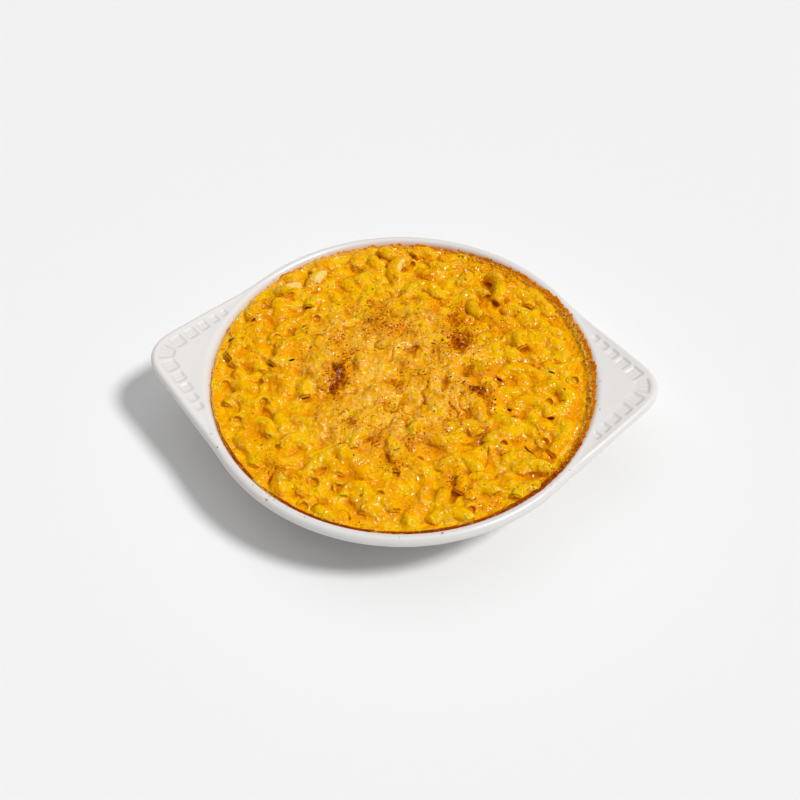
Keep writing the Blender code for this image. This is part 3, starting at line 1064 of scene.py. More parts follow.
    def toast(self, places: Array) -> Array:
        """How browned each place is: ragged eased ellipses, plus faint drifts in the middle."""
        ragged = 0.35 * lattice_noise(places, 3.2, self.seed + 4, 2)
        total = np.zeros(len(places))
        for x, y, length, width, heading, strength in self.TOASTED:
            turn = math.radians(heading)
            dx, dy = places[:, 0] - x, places[:, 1] - y
            along = (dx * math.cos(turn) + dy * math.sin(turn)) / length
            across = (-dx * math.sin(turn) + dy * math.cos(turn)) / width
            patch = strength * (1.0 - ease(0.35, 1.15, np.hypot(along, across) + ragged))
            total = np.maximum(total, patch)
        drift = lattice_noise(places, 13.0, self.seed + 5, 2)
        reach = np.hypot(places[:, 0], places[:, 1])
        return np.maximum(total, 0.3 * ease(0.1, 0.8, drift) * (1.0 - ease(50.0, 80.0, reach)))

    def season(self, places: Array) -> Array:
        """How much oil and paprika lies at each place: round the toasted patches and in drifts."""
        total = np.zeros(len(places))
        for x, y, length, width, _, strength in self.TOASTED:
            gap = np.hypot(places[:, 0] - x, places[:, 1] - y) / (1.2 * max(length, width) + 3.0)
            total = np.maximum(total, min(0.9, 1.3 * strength) * bell(gap, 1.0))
        drift = 0.36 + 0.5 * lattice_noise(places, 15.0, self.seed + 7, 2)
        middle = 0.25 + 0.75 * self.blanket(places[:, 0], places[:, 1])
        ragged = 0.15 * lattice_noise(places, 4.0, self.seed + 8)
        return np.clip(np.maximum(total, drift * middle) + ragged, 0.0, 1.0)

    def creases(self, places: Array) -> Array:
        """Thin wrinkles of the cheese's skin, 0 to 1: where noise of 10 mm passes through zero."""
        flat = places * np.array([1.0, 1.0, 0.4])
        lines = bell(lattice_noise(flat, 10.0, self.seed + 9, 2), 0.09)
        return lines * ease(-0.3, 0.4, lattice_noise(flat, 14.0, self.seed + 6))

    def over_bed(self, places: Array) -> Array:
        """Lifts places given by x, y and height over the bed to their true height."""
        lifted = np.array(places, float)
        lifted[..., 2] += self.bed(lifted[..., 0], lifted[..., 1])
        return lifted

    def laid_elbows(self) -> Bends:
        """The elbows that are placed one by one."""
        rng = np.random.default_rng(self.seed + 10)
        arches = np.array(self.ARCHES, float).reshape(-1, 3, 3)
        arches = self.over_bed(arches - np.array([0.0, 0.0, 1.0]))
        depth = rng.uniform(0.7, 1.3, (len(arches), 2))
        along = Bends.through(arches, self.sizes.tube_radius, depth)
        rings = np.array(self.RINGS, float)
        ends = self.over_bed(rings[:, :3])
        heading, lift = np.radians(rings[:, 3:5]).T
        side = rings[:, 5:]
        level, flat = polar(1.0, heading), np.zeros((len(rings), 1))
        opening = np.concatenate([level * np.cos(lift)[:, None], np.sin(lift)[:, None]], axis=-1)
        sideways = side * np.concatenate([-level[:, 1:], level[:, :1], flat], axis=-1)
        droop = np.concatenate([level * np.sin(lift)[:, None], -np.cos(lift)[:, None]], axis=-1)
        depth = np.tile([1.5, 1.0], (len(ends), 1))
        upright = Bends.from_ends(ends, opening, sideways + 0.1 * droop, self.sizes, depth)
        return Bends.join([along, upright])

    def loose_elbows(
        self, taken: Bends, wanted: int, inner: float, outer: float, seed: int
    ) -> Bends:
        """Drops further elbows on the bed wherever they clear those already there.

        All tries are made at once. Taken in turn, a try stays if no place on its centreline
        comes too near another centreline or the rim.

        Args:
            taken: The elbows already laid.
            wanted: How many more are wanted.
            inner: The least radius of an elbow's middle.
            outer: The greatest radius of an elbow's centreline.
            seed: The seed of the tries.

        Returns:
            The further elbows.
        """
        rng, tries = np.random.default_rng(seed), 20000
        reach = np.sqrt(rng.uniform(inner**2, outer**2, tries))
        trials = self.dropped(rng, *polar(reach, rng.uniform(-math.pi, math.pi, tries)).T)
        shares = np.linspace(-1.0, 1.0, 9)
        routes = trials.line(shares)
        limit = outer - 1.4 * self.rim_crumble(np.arctan2(routes[..., 1], routes[..., 0]))
        inside = (np.hypot(routes[..., 0], routes[..., 1]) < limit).all(axis=1)
        lines = taken.line(shares).reshape(-1, 3)
        kept: list[int] = []
        for number in np.flatnonzero(inside):
            if len(kept) == wanted:
                break
            apart = lines[:, None] - routes[number][None]
            if (apart * apart).sum(axis=-1).min() > (1.52 * self.sizes.tube_radius) ** 2:
                kept.append(number)
                lines = np.concatenate([lines, routes[number]])
        return trials.only(np.array(kept))

    def dropped(self, rng: np.random.Generator, x: Array, y: Array) -> Bends:
        """Elbows lying on the bed at random headings, middles up and ends dipping in."""
        count = len(x)
        heading = rng.uniform(0.0, 2.0 * math.pi, count)[:, None]
        tilt = rng.uniform(0.15, 0.95, count)[:, None]
        roll = rng.normal(0.0, 0.28, count)[:, None]
        up = np.array([[0.0, 0.0, 1.0]])
        level = np.concatenate([np.cos(heading), np.sin(heading), 0.0 * heading], axis=-1)
        beside = np.concatenate([-np.sin(heading), np.cos(heading), 0.0 * heading], axis=-1)
        middle = level * np.cos(tilt) + up * np.sin(tilt)
        onward = beside * np.cos(roll) + np.cross(middle, beside) * np.sin(roll)
        bend = self.sizes.bend_radius * rng.uniform(0.9, 1.12, count)
        height = self.bed(x, y) + rng.uniform(-0.3, 1.9, count)
        centre = np.stack([x, y, height], axis=-1) - middle * bend[:, None]
        half = np.radians(rng.uniform(60.0, 80.0, count))
        tube = self.sizes.tube_radius * rng.uniform(0.93, 1.04, count)
        return Bends(centre, middle, onward, half, bend, tube, rng.uniform(0.7, 1.3, (count, 2)))

    def buried_elbows(self) -> Bends:
        """Elbows under the cheese, on a jittered triangular grid, that swell it from below."""
        rng = np.random.default_rng(self.seed + 30)
        pitch = 9.5
        row, column = np.meshgrid(np.arange(-12, 13), np.arange(-11, 12), indexing="ij")
        x = (column + 0.5 * (row % 2)) * pitch + rng.uniform(-3.0, 3.0, row.shape)
        y = row * pitch * 0.866 + rng.uniform(-3.0, 3.0, row.shape)
        inside = np.hypot(x, y) < 87.0
        bends = self.dropped(rng, x[inside], y[inside])
        bends.centre[:, 2] -= 2.0 - 0.8 * self.blanket(x[inside], y[inside])
        return bends


@dataclass
class HeapField:
    """Signed distance to the baked filling, in mm, on a regular grid; negative inside."""

    heap: Heap
    step: float = 0.8
    low: float = 31.6
    high: float = 46.8
    half: float = 95.5

    def __post_init__(self) -> None:
        """Starts the field as the bed alone: height over the bed."""
        side = int(2 * self.half / self.step) + 1
        self.across = (np.arange(side) - (side - 1) / 2.0) * self.step
        self.up = self.low + np.arange(int((self.high - self.low) / self.step) + 1) * self.step
        self.x, self.y = np.meshgrid(self.across, self.across, indexing="ij")
        self.cover = self.heap.blanket(self.x, self.y)
        bed = self.heap.bed(self.x, self.y)
        self.values = (self.up[None, None, :] - bed[..., None]).astype(np.float32)

    def _block(self, bends: Bends, number: int, margin: float) -> tuple[tuple, Array]:
        """The part of the grid near one tube, and its places seen from the tube's centre."""
        reach = bends.bend_radius[number] + bends.tube_radius[number] + margin
        centre = bends.centre[number]
        slices = []
        for axis, ticks in enumerate((self.across, self.across, self.up)):
            first, last = np.searchsorted(ticks, [centre[axis] - reach, centre[axis] + reach])
            slices.append(slice(first, last))
        ticks = [self.across[slices[0]], self.across[slices[1]], self.up[slices[2]]]
        return tuple(slices), np.stack(np.meshgrid(*ticks, indexing="ij"), axis=-1) - centre

    def _walk(self, bends: Bends, order: Sequence[int], margin: float) -> Iterator[tuple]:
        """Takes tubes in turn.

        Args:
            bends: The tubes.
            order: Their numbers.
            margin: How far past a tube the grid is read.

        Yields:
            The tube's number, its part of the grid, distance to its centreline circle, place
            along it from the arc's middle, and where it ends.
        """
        for number in order:
            block, arms = self._block(bends, number, margin)
            bend = bends.bend_radius[number]
            u, v = arms @ bends.middle[number], arms @ bends.onward[number]
            ring = np.hypot(np.hypot(u, v) - bend, arms @ bends.normal[number])
            yield number, block, ring, bend * np.arctan2(v, u), bend * bends.half_angle[number]

    def add_tubes(self, bends: Bends, swell: float) -> None:
        """Melts solid tubes into the field, lowest first.

        A tube is the ring's distance less its radius, cut off at the ends, joined by the
        rounded lesser. The rounding is wide where cheese lies thick.

        Args:
            bends: The tubes.
            swell: How much thicker than the pasta they are made, in mm.
        """
        order = np.argsort(bends.centre[:, 2])
        for number, block, ring, along, end in self._walk(bends, order, 3.5):
            body = ring - bends.tube_radius[number] - swell
            body = soft_max(body, np.abs(along) - end + 0.5, 1.2)
            cover = self.cover[block[0], block[1]].mean() if body.size else 0.0
            self.values[block] = soft_min(self.values[block], body, 1.2 + 2.2 * cover)

    def open_bores(self, bends: Bends, radius: float) -> None:
        """Opens tube ends that stand clear of the bed, to their depth and a little outwards."""
        proud = 0.5
        ends = bends.line(np.array([-1.0, 1.0]))
        clear = ends[..., 2] > self.heap.bed(ends[..., 0], ends[..., 1]) + 0.3
        for number, block, ring, along, end in self._walk(bends, range(len(bends)), 2.0):
            for depth, side, bare in zip(bends.bore_depth[number], (-1.0, 1.0), clear[number]):
                if not bare:
                    continue
                past = side * along - end
                mouth = np.abs(past + (depth - proud) / 2.0) - (depth + proud) / 2.0
                bore = soft_max(ring - radius, mouth, 0.5)
                bore = np.maximum(bore, self.low + 2.0 - self.up[block[2]])
                self.values[block] = soft_max(self.values[block], -bore, 0.4)

    def melt(self) -> None:
        """Softens the field by 1.3 mm where the cheese lies thick, as melted cheese levels."""
        window = np.exp(-0.5 * (np.arange(-4, 5) * self.step / 1.3) ** 2)
        window /= window.sum()
        soft = self.values
        for axis in range(3):
            padded = np.pad(soft, [(4, 4) if a == axis else (0, 0) for a in range(3)], mode="edge")
            length = soft.shape[axis]
            runs = (np.take(padded, np.arange(i, i + length), axis=axis) for i in range(9))
            soft = sum(weight * run for weight, run in zip(window, runs))
        share = (0.8 * self.cover)[..., None]
        self.values = (self.values * (1.0 - share) + soft * share).astype(np.float32)

    def roughen(self) -> None:
        """Adds curds to the surface: lumps of 5 mm, and of 2.4 mm that grow where cheese is thick.

        Wrinkles are cut between them.
        """
        near = np.abs(self.values) < 2.0
        parts = (self.x[..., None], self.y[..., None], self.up, self.cover[..., None])
        *place, cover = (np.broadcast_to(part, near.shape)[near] for part in parts)
        places = np.stack(place, axis=-1)
        lumps = 0.32 * lattice_noise(places, 5.0, 51)
        lumps = lumps + (0.12 + 0.38 * cover) * lattice_noise(places, 2.4, 52, 2)
        self.values[near] -= lumps - (0.5 + 0.5 * cover) * self.heap.creases(places)

    def fit_dish(self) -> None:
        """Keeps the filling 0.3 mm clear of the dish: the greater of it and the cavity's cone."""
        radius = np.hypot(self.x, self.y)[..., None]
        outside = (radius - self.heap.dish.wall_radius(self.up) + DISH_GAP) * 0.72
        self.values = soft_max(self.values, outside, 0.5).astype(np.float32)
        self.values[..., -1] = np.maximum(self.values[..., -1], 0.3)

    def sample(self, places: Array) -> Array:
        """The field at any places, blended from the eight grid points round each."""
        origin = np.array([self.across[0], self.across[0], self.up[0]])
        scaled = (places - origin) / self.step
        limit = np.array(self.values.shape) - 2
        base = np.clip(np.floor(scaled).astype(int), 0, limit)
        share = np.clip(scaled - base, 0.0, 1.0)
        total = np.zeros(len(places))
        for steps in CORNERS:
            weight = np.prod(np.where(steps == 1, share, 1.0 - share), axis=-1)
            place = base + steps
            total += weight * self.values[place[:, 0], place[:, 1], place[:, 2]]
        return total

    def skin(self) -> tuple[Array, Array]:
        """The surface of the field as quads.

        Every grid cell that the surface crosses holds one point, the mean of the crossings on
        its edges, and every crossed grid edge gives a quad between its four cells. Each point
        is then moved along the field's slope by the field's value.

        Returns:
            Points in mm and quads. The skin is open at the lowest layer of cells.
        """
        inside = self.values < 0.0
        shape = np.array(self.values.shape)
        cells, crossings, edges = [], [], []
        for axis in range(3):
            others = ((axis + 1) % 3, (axis + 2) % 3)
            low = tuple(slice(None, -1) if a == axis else slice(None) for a in range(3))
            high = tuple(slice(1, None) if a == axis else slice(None) for a in range(3))
            node = np.argwhere(inside[low] != inside[high])
            before = self.values[low][tuple(node.T)]
            after = self.values[high][tuple(node.T)]
            crossing = node.astype(float)
            crossing[:, axis] += before / (before - after)
            corners = []
            for back in ((1, 1), (0, 1), (0, 0), (1, 0)):
                cell = node.copy()
                cell[:, others[0]] -= back[0]
                cell[:, others[1]] -= back[1]
                valid = ((cell >= 0) & (cell < shape - 1)).all(axis=1)
                code = np.ravel_multi_index(tuple(np.maximum(cell, 0).T), shape)
                code = np.where(valid, code, -1)
                corners.append(code)
                cells.append(code[valid])
                crossings.append(crossing[valid])
            quad = np.stack(corners, axis=-1)
            quad = np.where((before < 0.0)[:, None], quad, quad[:, ::-1])
            edges.append(quad[(quad >= 0).all(axis=1)])
        names, index = np.unique(np.concatenate(cells), return_inverse=True)
        crossing = np.concatenate(crossings)
        count = np.bincount(index)
        points = np.stack([np.bincount(index, crossing[:, i]) / count for i in range(3)], axis=-1)
        points = points * self.step + np.array([self.across[0], self.across[0], self.up[0]])
        quads = np.searchsorted(names, np.concatenate(edges))
        nudge = 0.5 * self.step
        for _ in range(2):
            steps = np.eye(3) * nudge
            slope = [self.sample(points + step) - self.sample(points - step) for step in steps]
            slope = np.stack(slope, axis=-1) / (2.0 * nudge)
            size = np.maximum((slope * slope).sum(-1), 0.2)
            points = points - np.clip(self.sample(points) / size, -0.4, 0.4)[:, None] * slope
        return points, quads

    def heights(self) -> Array:
        """The height of the filling's top over each grid column."""
        inside = self.values < 0.0
        top = inside.shape[2] - 1 - np.argmax(inside[..., ::-1], axis=2)
        top = np.where(inside.any(axis=2), np.minimum(top, inside.shape[2] - 2), 0)
        i, j = np.indices(top.shape)
        under, over = self.values[i, j, top], self.values[i, j, top + 1]
        share = np.clip(under / np.minimum(under - over, -1e-6), 0.0, 1.0)
        return np.where(inside.any(axis=2), self.up[top] + share * self.step, self.heap.fill)


@dataclass
class Relief:
    """How far each place lies under the filling's general level."""

    field: HeapField
    spread: float = 4.2

    def __post_init__(self) -> None:
        """Blurs the map of heights by a bell curve, leaving out what is past the wall."""
        steps = int(3 * self.spread / self.field.step)
        window = np.exp(-0.5 * (np.arange(-steps, steps + 1) * self.field.step / self.spread) ** 2)
        weight = (np.hypot(self.field.x, self.field.y) < 91.0) * 1.0
        total = self.field.heights() * weight
        for axis in range(2):
            total, weight = (
                np.apply_along_axis(np.convolve, axis, grid, window, "same")
                for grid in (total, weight)
            )
        self.level = total / np.maximum(weight, 1e-3)

    def hollow(self, places: Array) -> Array:
        """How sunk each place is: its depth under the level over 3 mm; it sets the painted shade."""
        side = len(self.field.across)
        spot = (places[:, :2] - self.field.across[0]) / self.field.step
        near = np.clip(np.rint(spot).astype(int), 0, side - 1)
        return np.clip((self.level[near[:, 0], near[:, 1]] - places[:, 2]) / 3.0, -0.5, 1.3)


@dataclass
class CheeseCore:
    """The baked cheese under and between the elbows, closed down to the dish's floor."""

    heap: Heap
    field: HeapField
    relief: Relief
    finish: BakedCheese

    def build(self) -> Object:
        """Skins the field, closes it below and dresses it."""
        points, quads = self.field.skin()
        points, quads, triangles = self._close(points, quads)
        cover = self.heap.blanket(points[:, 0], points[:, 1])
        # Painted shade, with some oil, in sunk places and along the wrinkles, less by the rim.
        sunk = self.relief.hollow(points) + 0.75 * self.heap.creases(points)
        by_rim = ease(87.0, 91.0, np.hypot(points[:, 0], points[:, 1]))
        marks = {
            "blanket": 0.3 + 0.7 * cover, "hollow": np.minimum(sunk, 0.85) - 0.5 * by_rim,
            "toast": self.heap.toast(points), "season": self.heap.season(points),
        }
        piece = make_piece("baked_cheese_core", points, quads, triangles, marks)
        return place_piece(piece, Slot.CHEESE, self.finish.make(), Node.FOOD)

    def _close(self, points: Array, quads: Array) -> tuple[Array, Array, Array]:
        """Carries the skin's open lower edge down the dish's wall and across its floor.

        The edge's points are sorted by azimuth and laced to an even ring, and rings follow the
        inner profile, 0.3 mm clear of it, to a fan at the middle.
        """
        sides = np.concatenate([quads[:, [i, (i + 1) % 4]] for i in range(4)])
        key = np.sort(sides, axis=1)
        key = key[:, 0] * len(points) + key[:, 1]
        _, first, count = np.unique(key, return_index=True, return_counts=True)
        loose = np.unique(sides[first[count == 1]])
        around = np.arctan2(points[loose, 1], points[loose, 0])
        edge = loose[np.argsort(around)]
        around = np.sort(around)
        columns = 160
        spokes = np.linspace(-math.pi, math.pi, columns, endpoint=False)
        profile = self.heap.dish.inner_profile()[2:]
        keep = profile[:, 1] < self.field.low - 1.0
        profile = profile[keep][::-1]
        rings = [
            np.append(polar(r - DISH_GAP, spokes), np.full((columns, 1), z + DISH_GAP), axis=1)
            for r, z in profile
        ]
        start = len(points)
        middle = start + len(rings) * columns
        pole = [[0.0, 0.0, self.heap.dish.floor_height + DISH_GAP]]
        points = np.concatenate([points, *rings, pole])
        lower = grid_quads(len(rings), columns) + start
        last = np.arange(columns) + start + (len(rings) - 1) * columns
        lace = lace_rings(edge, around, np.arange(columns) + start, spokes)
        triangles = np.concatenate([lace, fan(middle, last, False)])
        return points, np.concatenate([quads, lower]), triangles


def lace_rings(upper: Array, upper_turn: Array, lower: Array, lower_turn: Array) -> Array:
    """Triangles between two rings with different numbers of points, both sorted by azimuth.

    All azimuths are merged in order. Each step along one ring makes a triangle with the point
    reached on the other, so there are as many triangles as points.

    Args:
        upper: Point numbers of the upper ring.
        upper_turn: Their azimuths.
        lower: Point numbers of the lower ring.
        lower_turn: Their azimuths.

    Returns:
        Triangles that face outwards.
    """
    order = np.argsort(np.concatenate([upper_turn, lower_turn]), kind="stable")
    from_upper = order < len(upper)
    a = (np.cumsum(from_upper) - 1) % len(upper)
    b = (np.cumsum(~from_upper) - 1) % len(lower)
    top, bottom = upper[a], lower[b]
    before_top, before_bottom = upper[(a - 1) % len(upper)], lower[(b - 1) % len(lower)]
    along_top = np.stack([before_top, bottom, top], axis=-1)
    along_bottom = np.stack([before_bottom, bottom, top], axis=-1)
    return np.where(from_upper[:, None], along_top, along_bottom)


@dataclass
class ElbowMacaroni:
    """The elbows that lie bare or thinly coated on top, as tubes with open bores and round-edged
    ends.
    """

    heap: Heap
    relief: Relief
    bends: Bends
    finish: BakedCheese
    around: int = 16
    # Smaller radii in the section belong to the bore.
    bore_limit: float = 2.2
    wall_gap: float = 0.4

    def build(self) -> Object:
        """Sweeps one closed section round every tube at once.

        The section runs along the outside from end to end, over the end's rounded edge, back
        along the bore and over the other edge. It turns round the centreline. Slow noise dents
        the tubes and fine noise gives them their coat.
        """
        bends, count = self.bends, len(self.bends)
        along, radius, inset = self._section()
        rows = len(along)
        turn = along[None, :] * bends.half_angle[:, None]
        turn = turn - np.sign(along)[None, :] * inset[None, :] / bends.bend_radius[:, None]
        thick = bends.tube_radius / self.heap.sizes.tube_radius
        spin = np.linspace(0.0, 2.0 * math.pi, self.around, endpoint=False)
        spoke = np.cos(turn)[..., None] * bends.middle[:, None]
        spoke = spoke + np.sin(turn)[..., None] * bends.onward[:, None]
        section = (radius[None, :] * thick[:, None])[..., None]
        out = section * np.cos(spin)
        side = section * np.sin(spin) * 0.95
        points = bends.centre[:, None, None] + spoke[:, :, None] * (
            bends.bend_radius[:, None, None, None] + out[..., None]
        )
        points = points + bends.normal[:, None, None] * side[..., None]
        outward = spoke[:, :, None] * np.cos(spin)[None, None, :, None]
        outward = outward + bends.normal[:, None, None] * np.sin(spin)[None, None, :, None]
        dent = 0.34 * lattice_noise(points, 5.5, 61) + 0.16 * lattice_noise(points, 2.2, 62)
        in_bore = (radius < self.bore_limit)[None, :, None]
        points = points + outward * (dent * np.where(in_bore, 0.3, 1.0))[..., None]
        quads = grid_quads(rows, self.around, closed_rows=True)
        starts = np.arange(count) * rows * self.around
        quads = (quads[None] + starts[:, None, None]).reshape(-1, 4)
        places = points.reshape(-1, 3)
        reach = np.maximum(np.hypot(places[:, 0], places[:, 1]), 1.0)
        limit = self.heap.dish.wall_radius(places[:, 2]) - self.wall_gap
        places[:, :2] *= np.minimum(1.0, limit / reach)[:, None]
        bore = np.broadcast_to(in_bore, points.shape[:-1]).ravel()
        marks = {
            "blanket": 0.15 + 0.6 * self.heap.blanket(places[:, 0], places[:, 1]),
            # Painted shade in the bores, and painted shade with some oil where the tube is sunk.
            "hollow": np.minimum(np.maximum(self.relief.hollow(places), bore * 0.7), 0.8),
            "toast": 0.8 * self.heap.toast(places), "season": 0.7 * self.heap.season(places),
        }
        piece = make_piece("elbow_macaroni", places, quads, None, marks)
        return place_piece(piece, Slot.CHEESE, self.finish.make())

    def _section(self) -> tuple[Array, Array, Array]:
        """The closed section: share along the arc, radius, and how far back from the end in mm."""
        outer, inner = self.heap.sizes.tube_radius, self.heap.sizes.bore_radius
        out_shares, in_shares = np.linspace(-0.93, 0.93, 15), np.linspace(0.8, -0.8, 5)
        edge_radius = [outer - 0.02, outer - 0.28, outer - 0.75, inner + 0.55, inner + 0.12, inner]
        edge_inset = [0.75, 0.25, 0.0, 0.02, 0.3, 0.8]
        along = np.concatenate([out_shares, np.ones(6), in_shares, -np.ones(6)])
        radius = [[outer] * 15, edge_radius, [inner] * 5, edge_radius[::-1]]
        radius = np.concatenate(radius)
        inset = np.concatenate([np.zeros(15), edge_inset, np.zeros(5), edge_inset[::-1]])
        return along, radius, inset


# ---- The rim crust and what is scattered on top ----


@dataclass
class RimCrust:
    """The ring of browned cheese that climbed the lip: wide and crumbly right, thin in front."""

    heap: Heap
    finish: BrownedCrust
    columns: int = 1500
    rows_per_span: int = 3

    def build(self) -> Object:
        """Carries a closed section round the rim.

        At every azimuth nine points give the section: up from the groove, over the crest, out to
        the ragged edge on the lip, and back down along the wall. A smooth closed curve runs
        through them, and noise of 1.4 mm makes the upper side crumble.
        """
        azimuth = np.linspace(0.0, 2.0 * math.pi, self.columns, endpoint=False)
        round_trip = polar(1.0, azimuth)
        crumble = 0.35 * ease(0.3, 0.9, round_trip[:, 1])
        crumble = np.maximum(self.heap.rim_crumble(azimuth), crumble)
        faint = ease(0.2, 0.9, np.cos(azimuth - math.radians(150.0)))
        spots = on_level(*polar(FILL_RADIUS, azimuth).T)
        ragged = lattice_noise(spots, 2.4, 71, 3) * (0.12 + 0.4 * crumble + 0.1 * faint)
        slow = lattice_noise(spots, 13.0, 72)
        front = ease(0.0, 0.8, -round_trip[:, 1])
        outer = 93.9 + 2.0 * crumble + 0.5 * front + ragged + 0.3 * slow
        width = 1.4 + 2.3 * crumble - 0.5 * faint + 0.35 * slow
        width = width + 0.4 * lattice_noise(spots, 4.0, 75)
        lip = self.heap.dish.lip_height(outer)
        inner = outer - width
        bed = self.heap.bed(*(round_trip * inner[:, None]).T)
        crest = 37.0 + 2.0 * crumble + 0.9 * front + 0.2 * slow
        crest = crest + 0.2 * lattice_noise(spots, 3.0, 73)
        shape = [
            (inner - 0.9, bed - 1.6), (inner - 0.2, bed),
            (inner + 0.15 * width, bed + 0.85 * (crest - bed)),
            (inner + 0.5 * width, np.maximum(crest + 0.2, lip - 0.1)), (outer - 0.25, lip + 0.3),
            (outer + 0.06, lip + 0.02), (outer - 0.45, lip - 0.55),
            (np.full_like(outer, 91.6), np.full_like(outer, 33.9)),
            (inner - 1.4, np.minimum(bed - 2.6, 33.2)),
        ]
        section = np.array([np.stack(pair, axis=-1) for pair in shape])
        curve = self._closed_curve(section)
        radius, height = curve[..., 0], curve[..., 1]
        places = np.stack([radius * round_trip[:, 0], radius * round_trip[:, 1], height], axis=-1)
        rows = len(curve)
        share = np.arange(rows) / self.rows_per_span
        upper = (ease(0.0, 1.0, share) * (1.0 - ease(4.4, 5.2, share)))[:, None]
        rough = 0.75 * lattice_noise(places, 1.4, 74, 2) * upper * (0.3 + 0.7 * crumble)
        places[..., 2] += rough
        places[..., :2] += (0.5 * rough)[..., None] * round_trip
        back = ease(0.3, 0.9, round_trip[:, 1])
        baked = 0.75 + 0.25 * slow - 0.35 * faint + 0.65 * front + 0.1 * back
        early = np.maximum(front, 0.6 * back)
        char = ease(1.8 - 1.7 * early, 3.4 - 0.8 * early, share[:, None]) * baked
        quads = grid_quads(rows, self.columns, closed_rows=True)
        piece = make_piece(
            "browned_rim_crust", places.reshape(-1, 3), quads, None,
            {"char": np.broadcast_to(char, (rows, self.columns)).ravel()},
        )
        return place_piece(piece, Slot.CHEESE, self.finish.make())

    def _closed_curve(self, section: Array) -> Array:
        """A smooth closed curve through the section's points: a cubic through each four in turn."""
        before, after = np.roll(section, 1, axis=0), np.roll(section, -1, axis=0)
        beyond = np.roll(section, -2, axis=0)
        first, second = after - before, 2.0 * before - 5.0 * section + 4.0 * after - beyond
        third = 3.0 * section - before - 3.0 * after + beyond
        parts = [
            0.5 * (2.0 * section + first * t + second * t * t + third * t**3)
            for t in (step / self.rows_per_span for step in range(self.rows_per_span))
        ]
        return np.stack(parts, axis=1).reshape(-1, *section.shape[1:])


@dataclass(frozen=True)
class Grain:
    """A small closed shape that is scattered: its points about the origin and its triangles."""

    points: Array
    triangles: Array

    @staticmethod
    def flake() -> "Grain":
        """A lens with a hexagonal edge: twelve faces."""
        ring = np.arange(6)
        edge = on_level(*polar(1.0, ring * math.pi / 3.0).T)
        points = np.concatenate([edge, [[0.0, 0.0, 0.6], [0.0, 0.0, -0.6]]])
        return Grain(points, np.concatenate([fan(6, ring, True), fan(7, ring, False)]))

    @staticmethod
    def lump() -> "Grain":
        """Two hexagons between two poles, turned by half a radian: twenty-four faces."""
        ring = np.arange(6)
        turn, beside = ring * math.pi / 3.0, (ring + 1) % 6
        low = on_level(*polar(0.85, turn).T) - [0.0, 0.0, 0.45]
        high = on_level(*polar(0.85, turn + 0.5).T) + [0.0, 0.0, 0.45]
        points = np.concatenate([low, high, [[0.0, 0.0, -1.0], [0.0, 0.0, 1.0]]])
        walls = [(ring, beside, ring + 6), (beside, beside + 6, ring + 6)]
        faces = [np.stack(corners, axis=-1) for corners in walls]
        faces += [fan(12, ring, False), fan(13, ring + 6, True)]
        return Grain(points, np.concatenate(faces))


@dataclass
class CheeseChips:
    """Flakes of cheese that never melted: pale wedges standing in the sauce by the back rim."""

    heap: Heap
    rounding: float = 0.45

    # x, y, length, width, height over the bed, heading and lean in degrees.
    CHIPS = (
        (-50, 62, 9.5, 4.6, 4, 62, 24), (-63, 56, 9, 5, 2.4, 25, 40),
        (-9, 74, 13, 3.2, 4.2, 70, 12),
    )

    def build(self) -> Object:
        """Builds every chip as a ball pressed to a slab and dresses it in pale cheese.

        A slab is a ball whose points are carried to a rounded box: each coordinate is the
        sign of itself times its size to the power 0.45. One end is cut thinner than the other.
        """
        turns, levels = 16, 9
        azimuth = np.linspace(0.0, 2.0 * math.pi, turns, endpoint=False)
        lift = np.linspace(-0.5 * math.pi, 0.5 * math.pi, levels + 2)[1:-1]
        lift = lift[:, None]
        parts = (np.cos(lift) * np.cos(azimuth), np.cos(lift) * np.sin(azimuth), np.sin(lift))
        ball = np.stack(np.broadcast_arrays(*parts), axis=-1).reshape(-1, 3)
        ball = np.concatenate([ball, [[0.0, 0.0, -1.0], [0.0, 0.0, 1.0]]])
        box = np.sign(ball) * np.abs(ball) ** self.rounding
        ring, poles = np.arange(turns), levels * turns
        caps = [fan(poles, ring, False), fan(poles + 1, ring + (levels - 1) * turns, True)]
        caps = np.concatenate(caps)
        walls = grid_quads(levels, turns)[:, ::-1]
        points, quads, triangles = [], [], []
        for number, (x, y, length, width, height, heading, lean) in enumerate(self.CHIPS):
            turn, tip = math.radians(heading), math.radians(lean)
            slab = box * np.array([length, width, height + 3.0]) / 2.0
            slab[:, 1] *= 1.0 - 0.5 * slab[:, 0] / length
            slab[:, 2] += 0.22 * slab[:, 0]
            tilted = slab.copy()
            tilted[:, 1] = slab[:, 1] * math.cos(tip) - slab[:, 2] * math.sin(tip)
            tilted[:, 2] = slab[:, 1] * math.sin(tip) + slab[:, 2] * math.cos(tip)
            place = tilted.copy()
            place[:, 0] = tilted[:, 0] * math.cos(turn) - tilted[:, 1] * math.sin(turn) + x
            place[:, 1] = tilted[:, 0] * math.sin(turn) + tilted[:, 1] * math.cos(turn) + y
            place[:, 2] += float(self.heap.bed(np.array([x]), np.array([y]))[0]) + height / 2.0
            place += 0.25 * lattice_noise(place, 2.5, 95 + number)[:, None]
            points.append(place)
            quads.append(walls + number * len(ball))
            triangles.append(caps + number * len(ball))
        finish = DrySeasoning("unmelted_cheese_chip", "#FFC848", "#FFE29A", 0.35)
        piece = make_piece("cheese_chips", *map(np.concatenate, (points, quads, triangles)))
        return place_piece(piece, Slot.CHEESE, finish.make())


@dataclass(frozen=True)
class Sprinkle:
    """One kind of scattered grain.

    Sizes are the least and greatest diameter in mm, and stretch is the length over the width.
    The thickness, and the sink of the grain's middle in the surface, are over the diameter.
    """

    name: str
    grain: Grain
    seed: int
    sizes: tuple[float, float]
    stretch: tuple[float, float]
    thickness: float
    sink: float


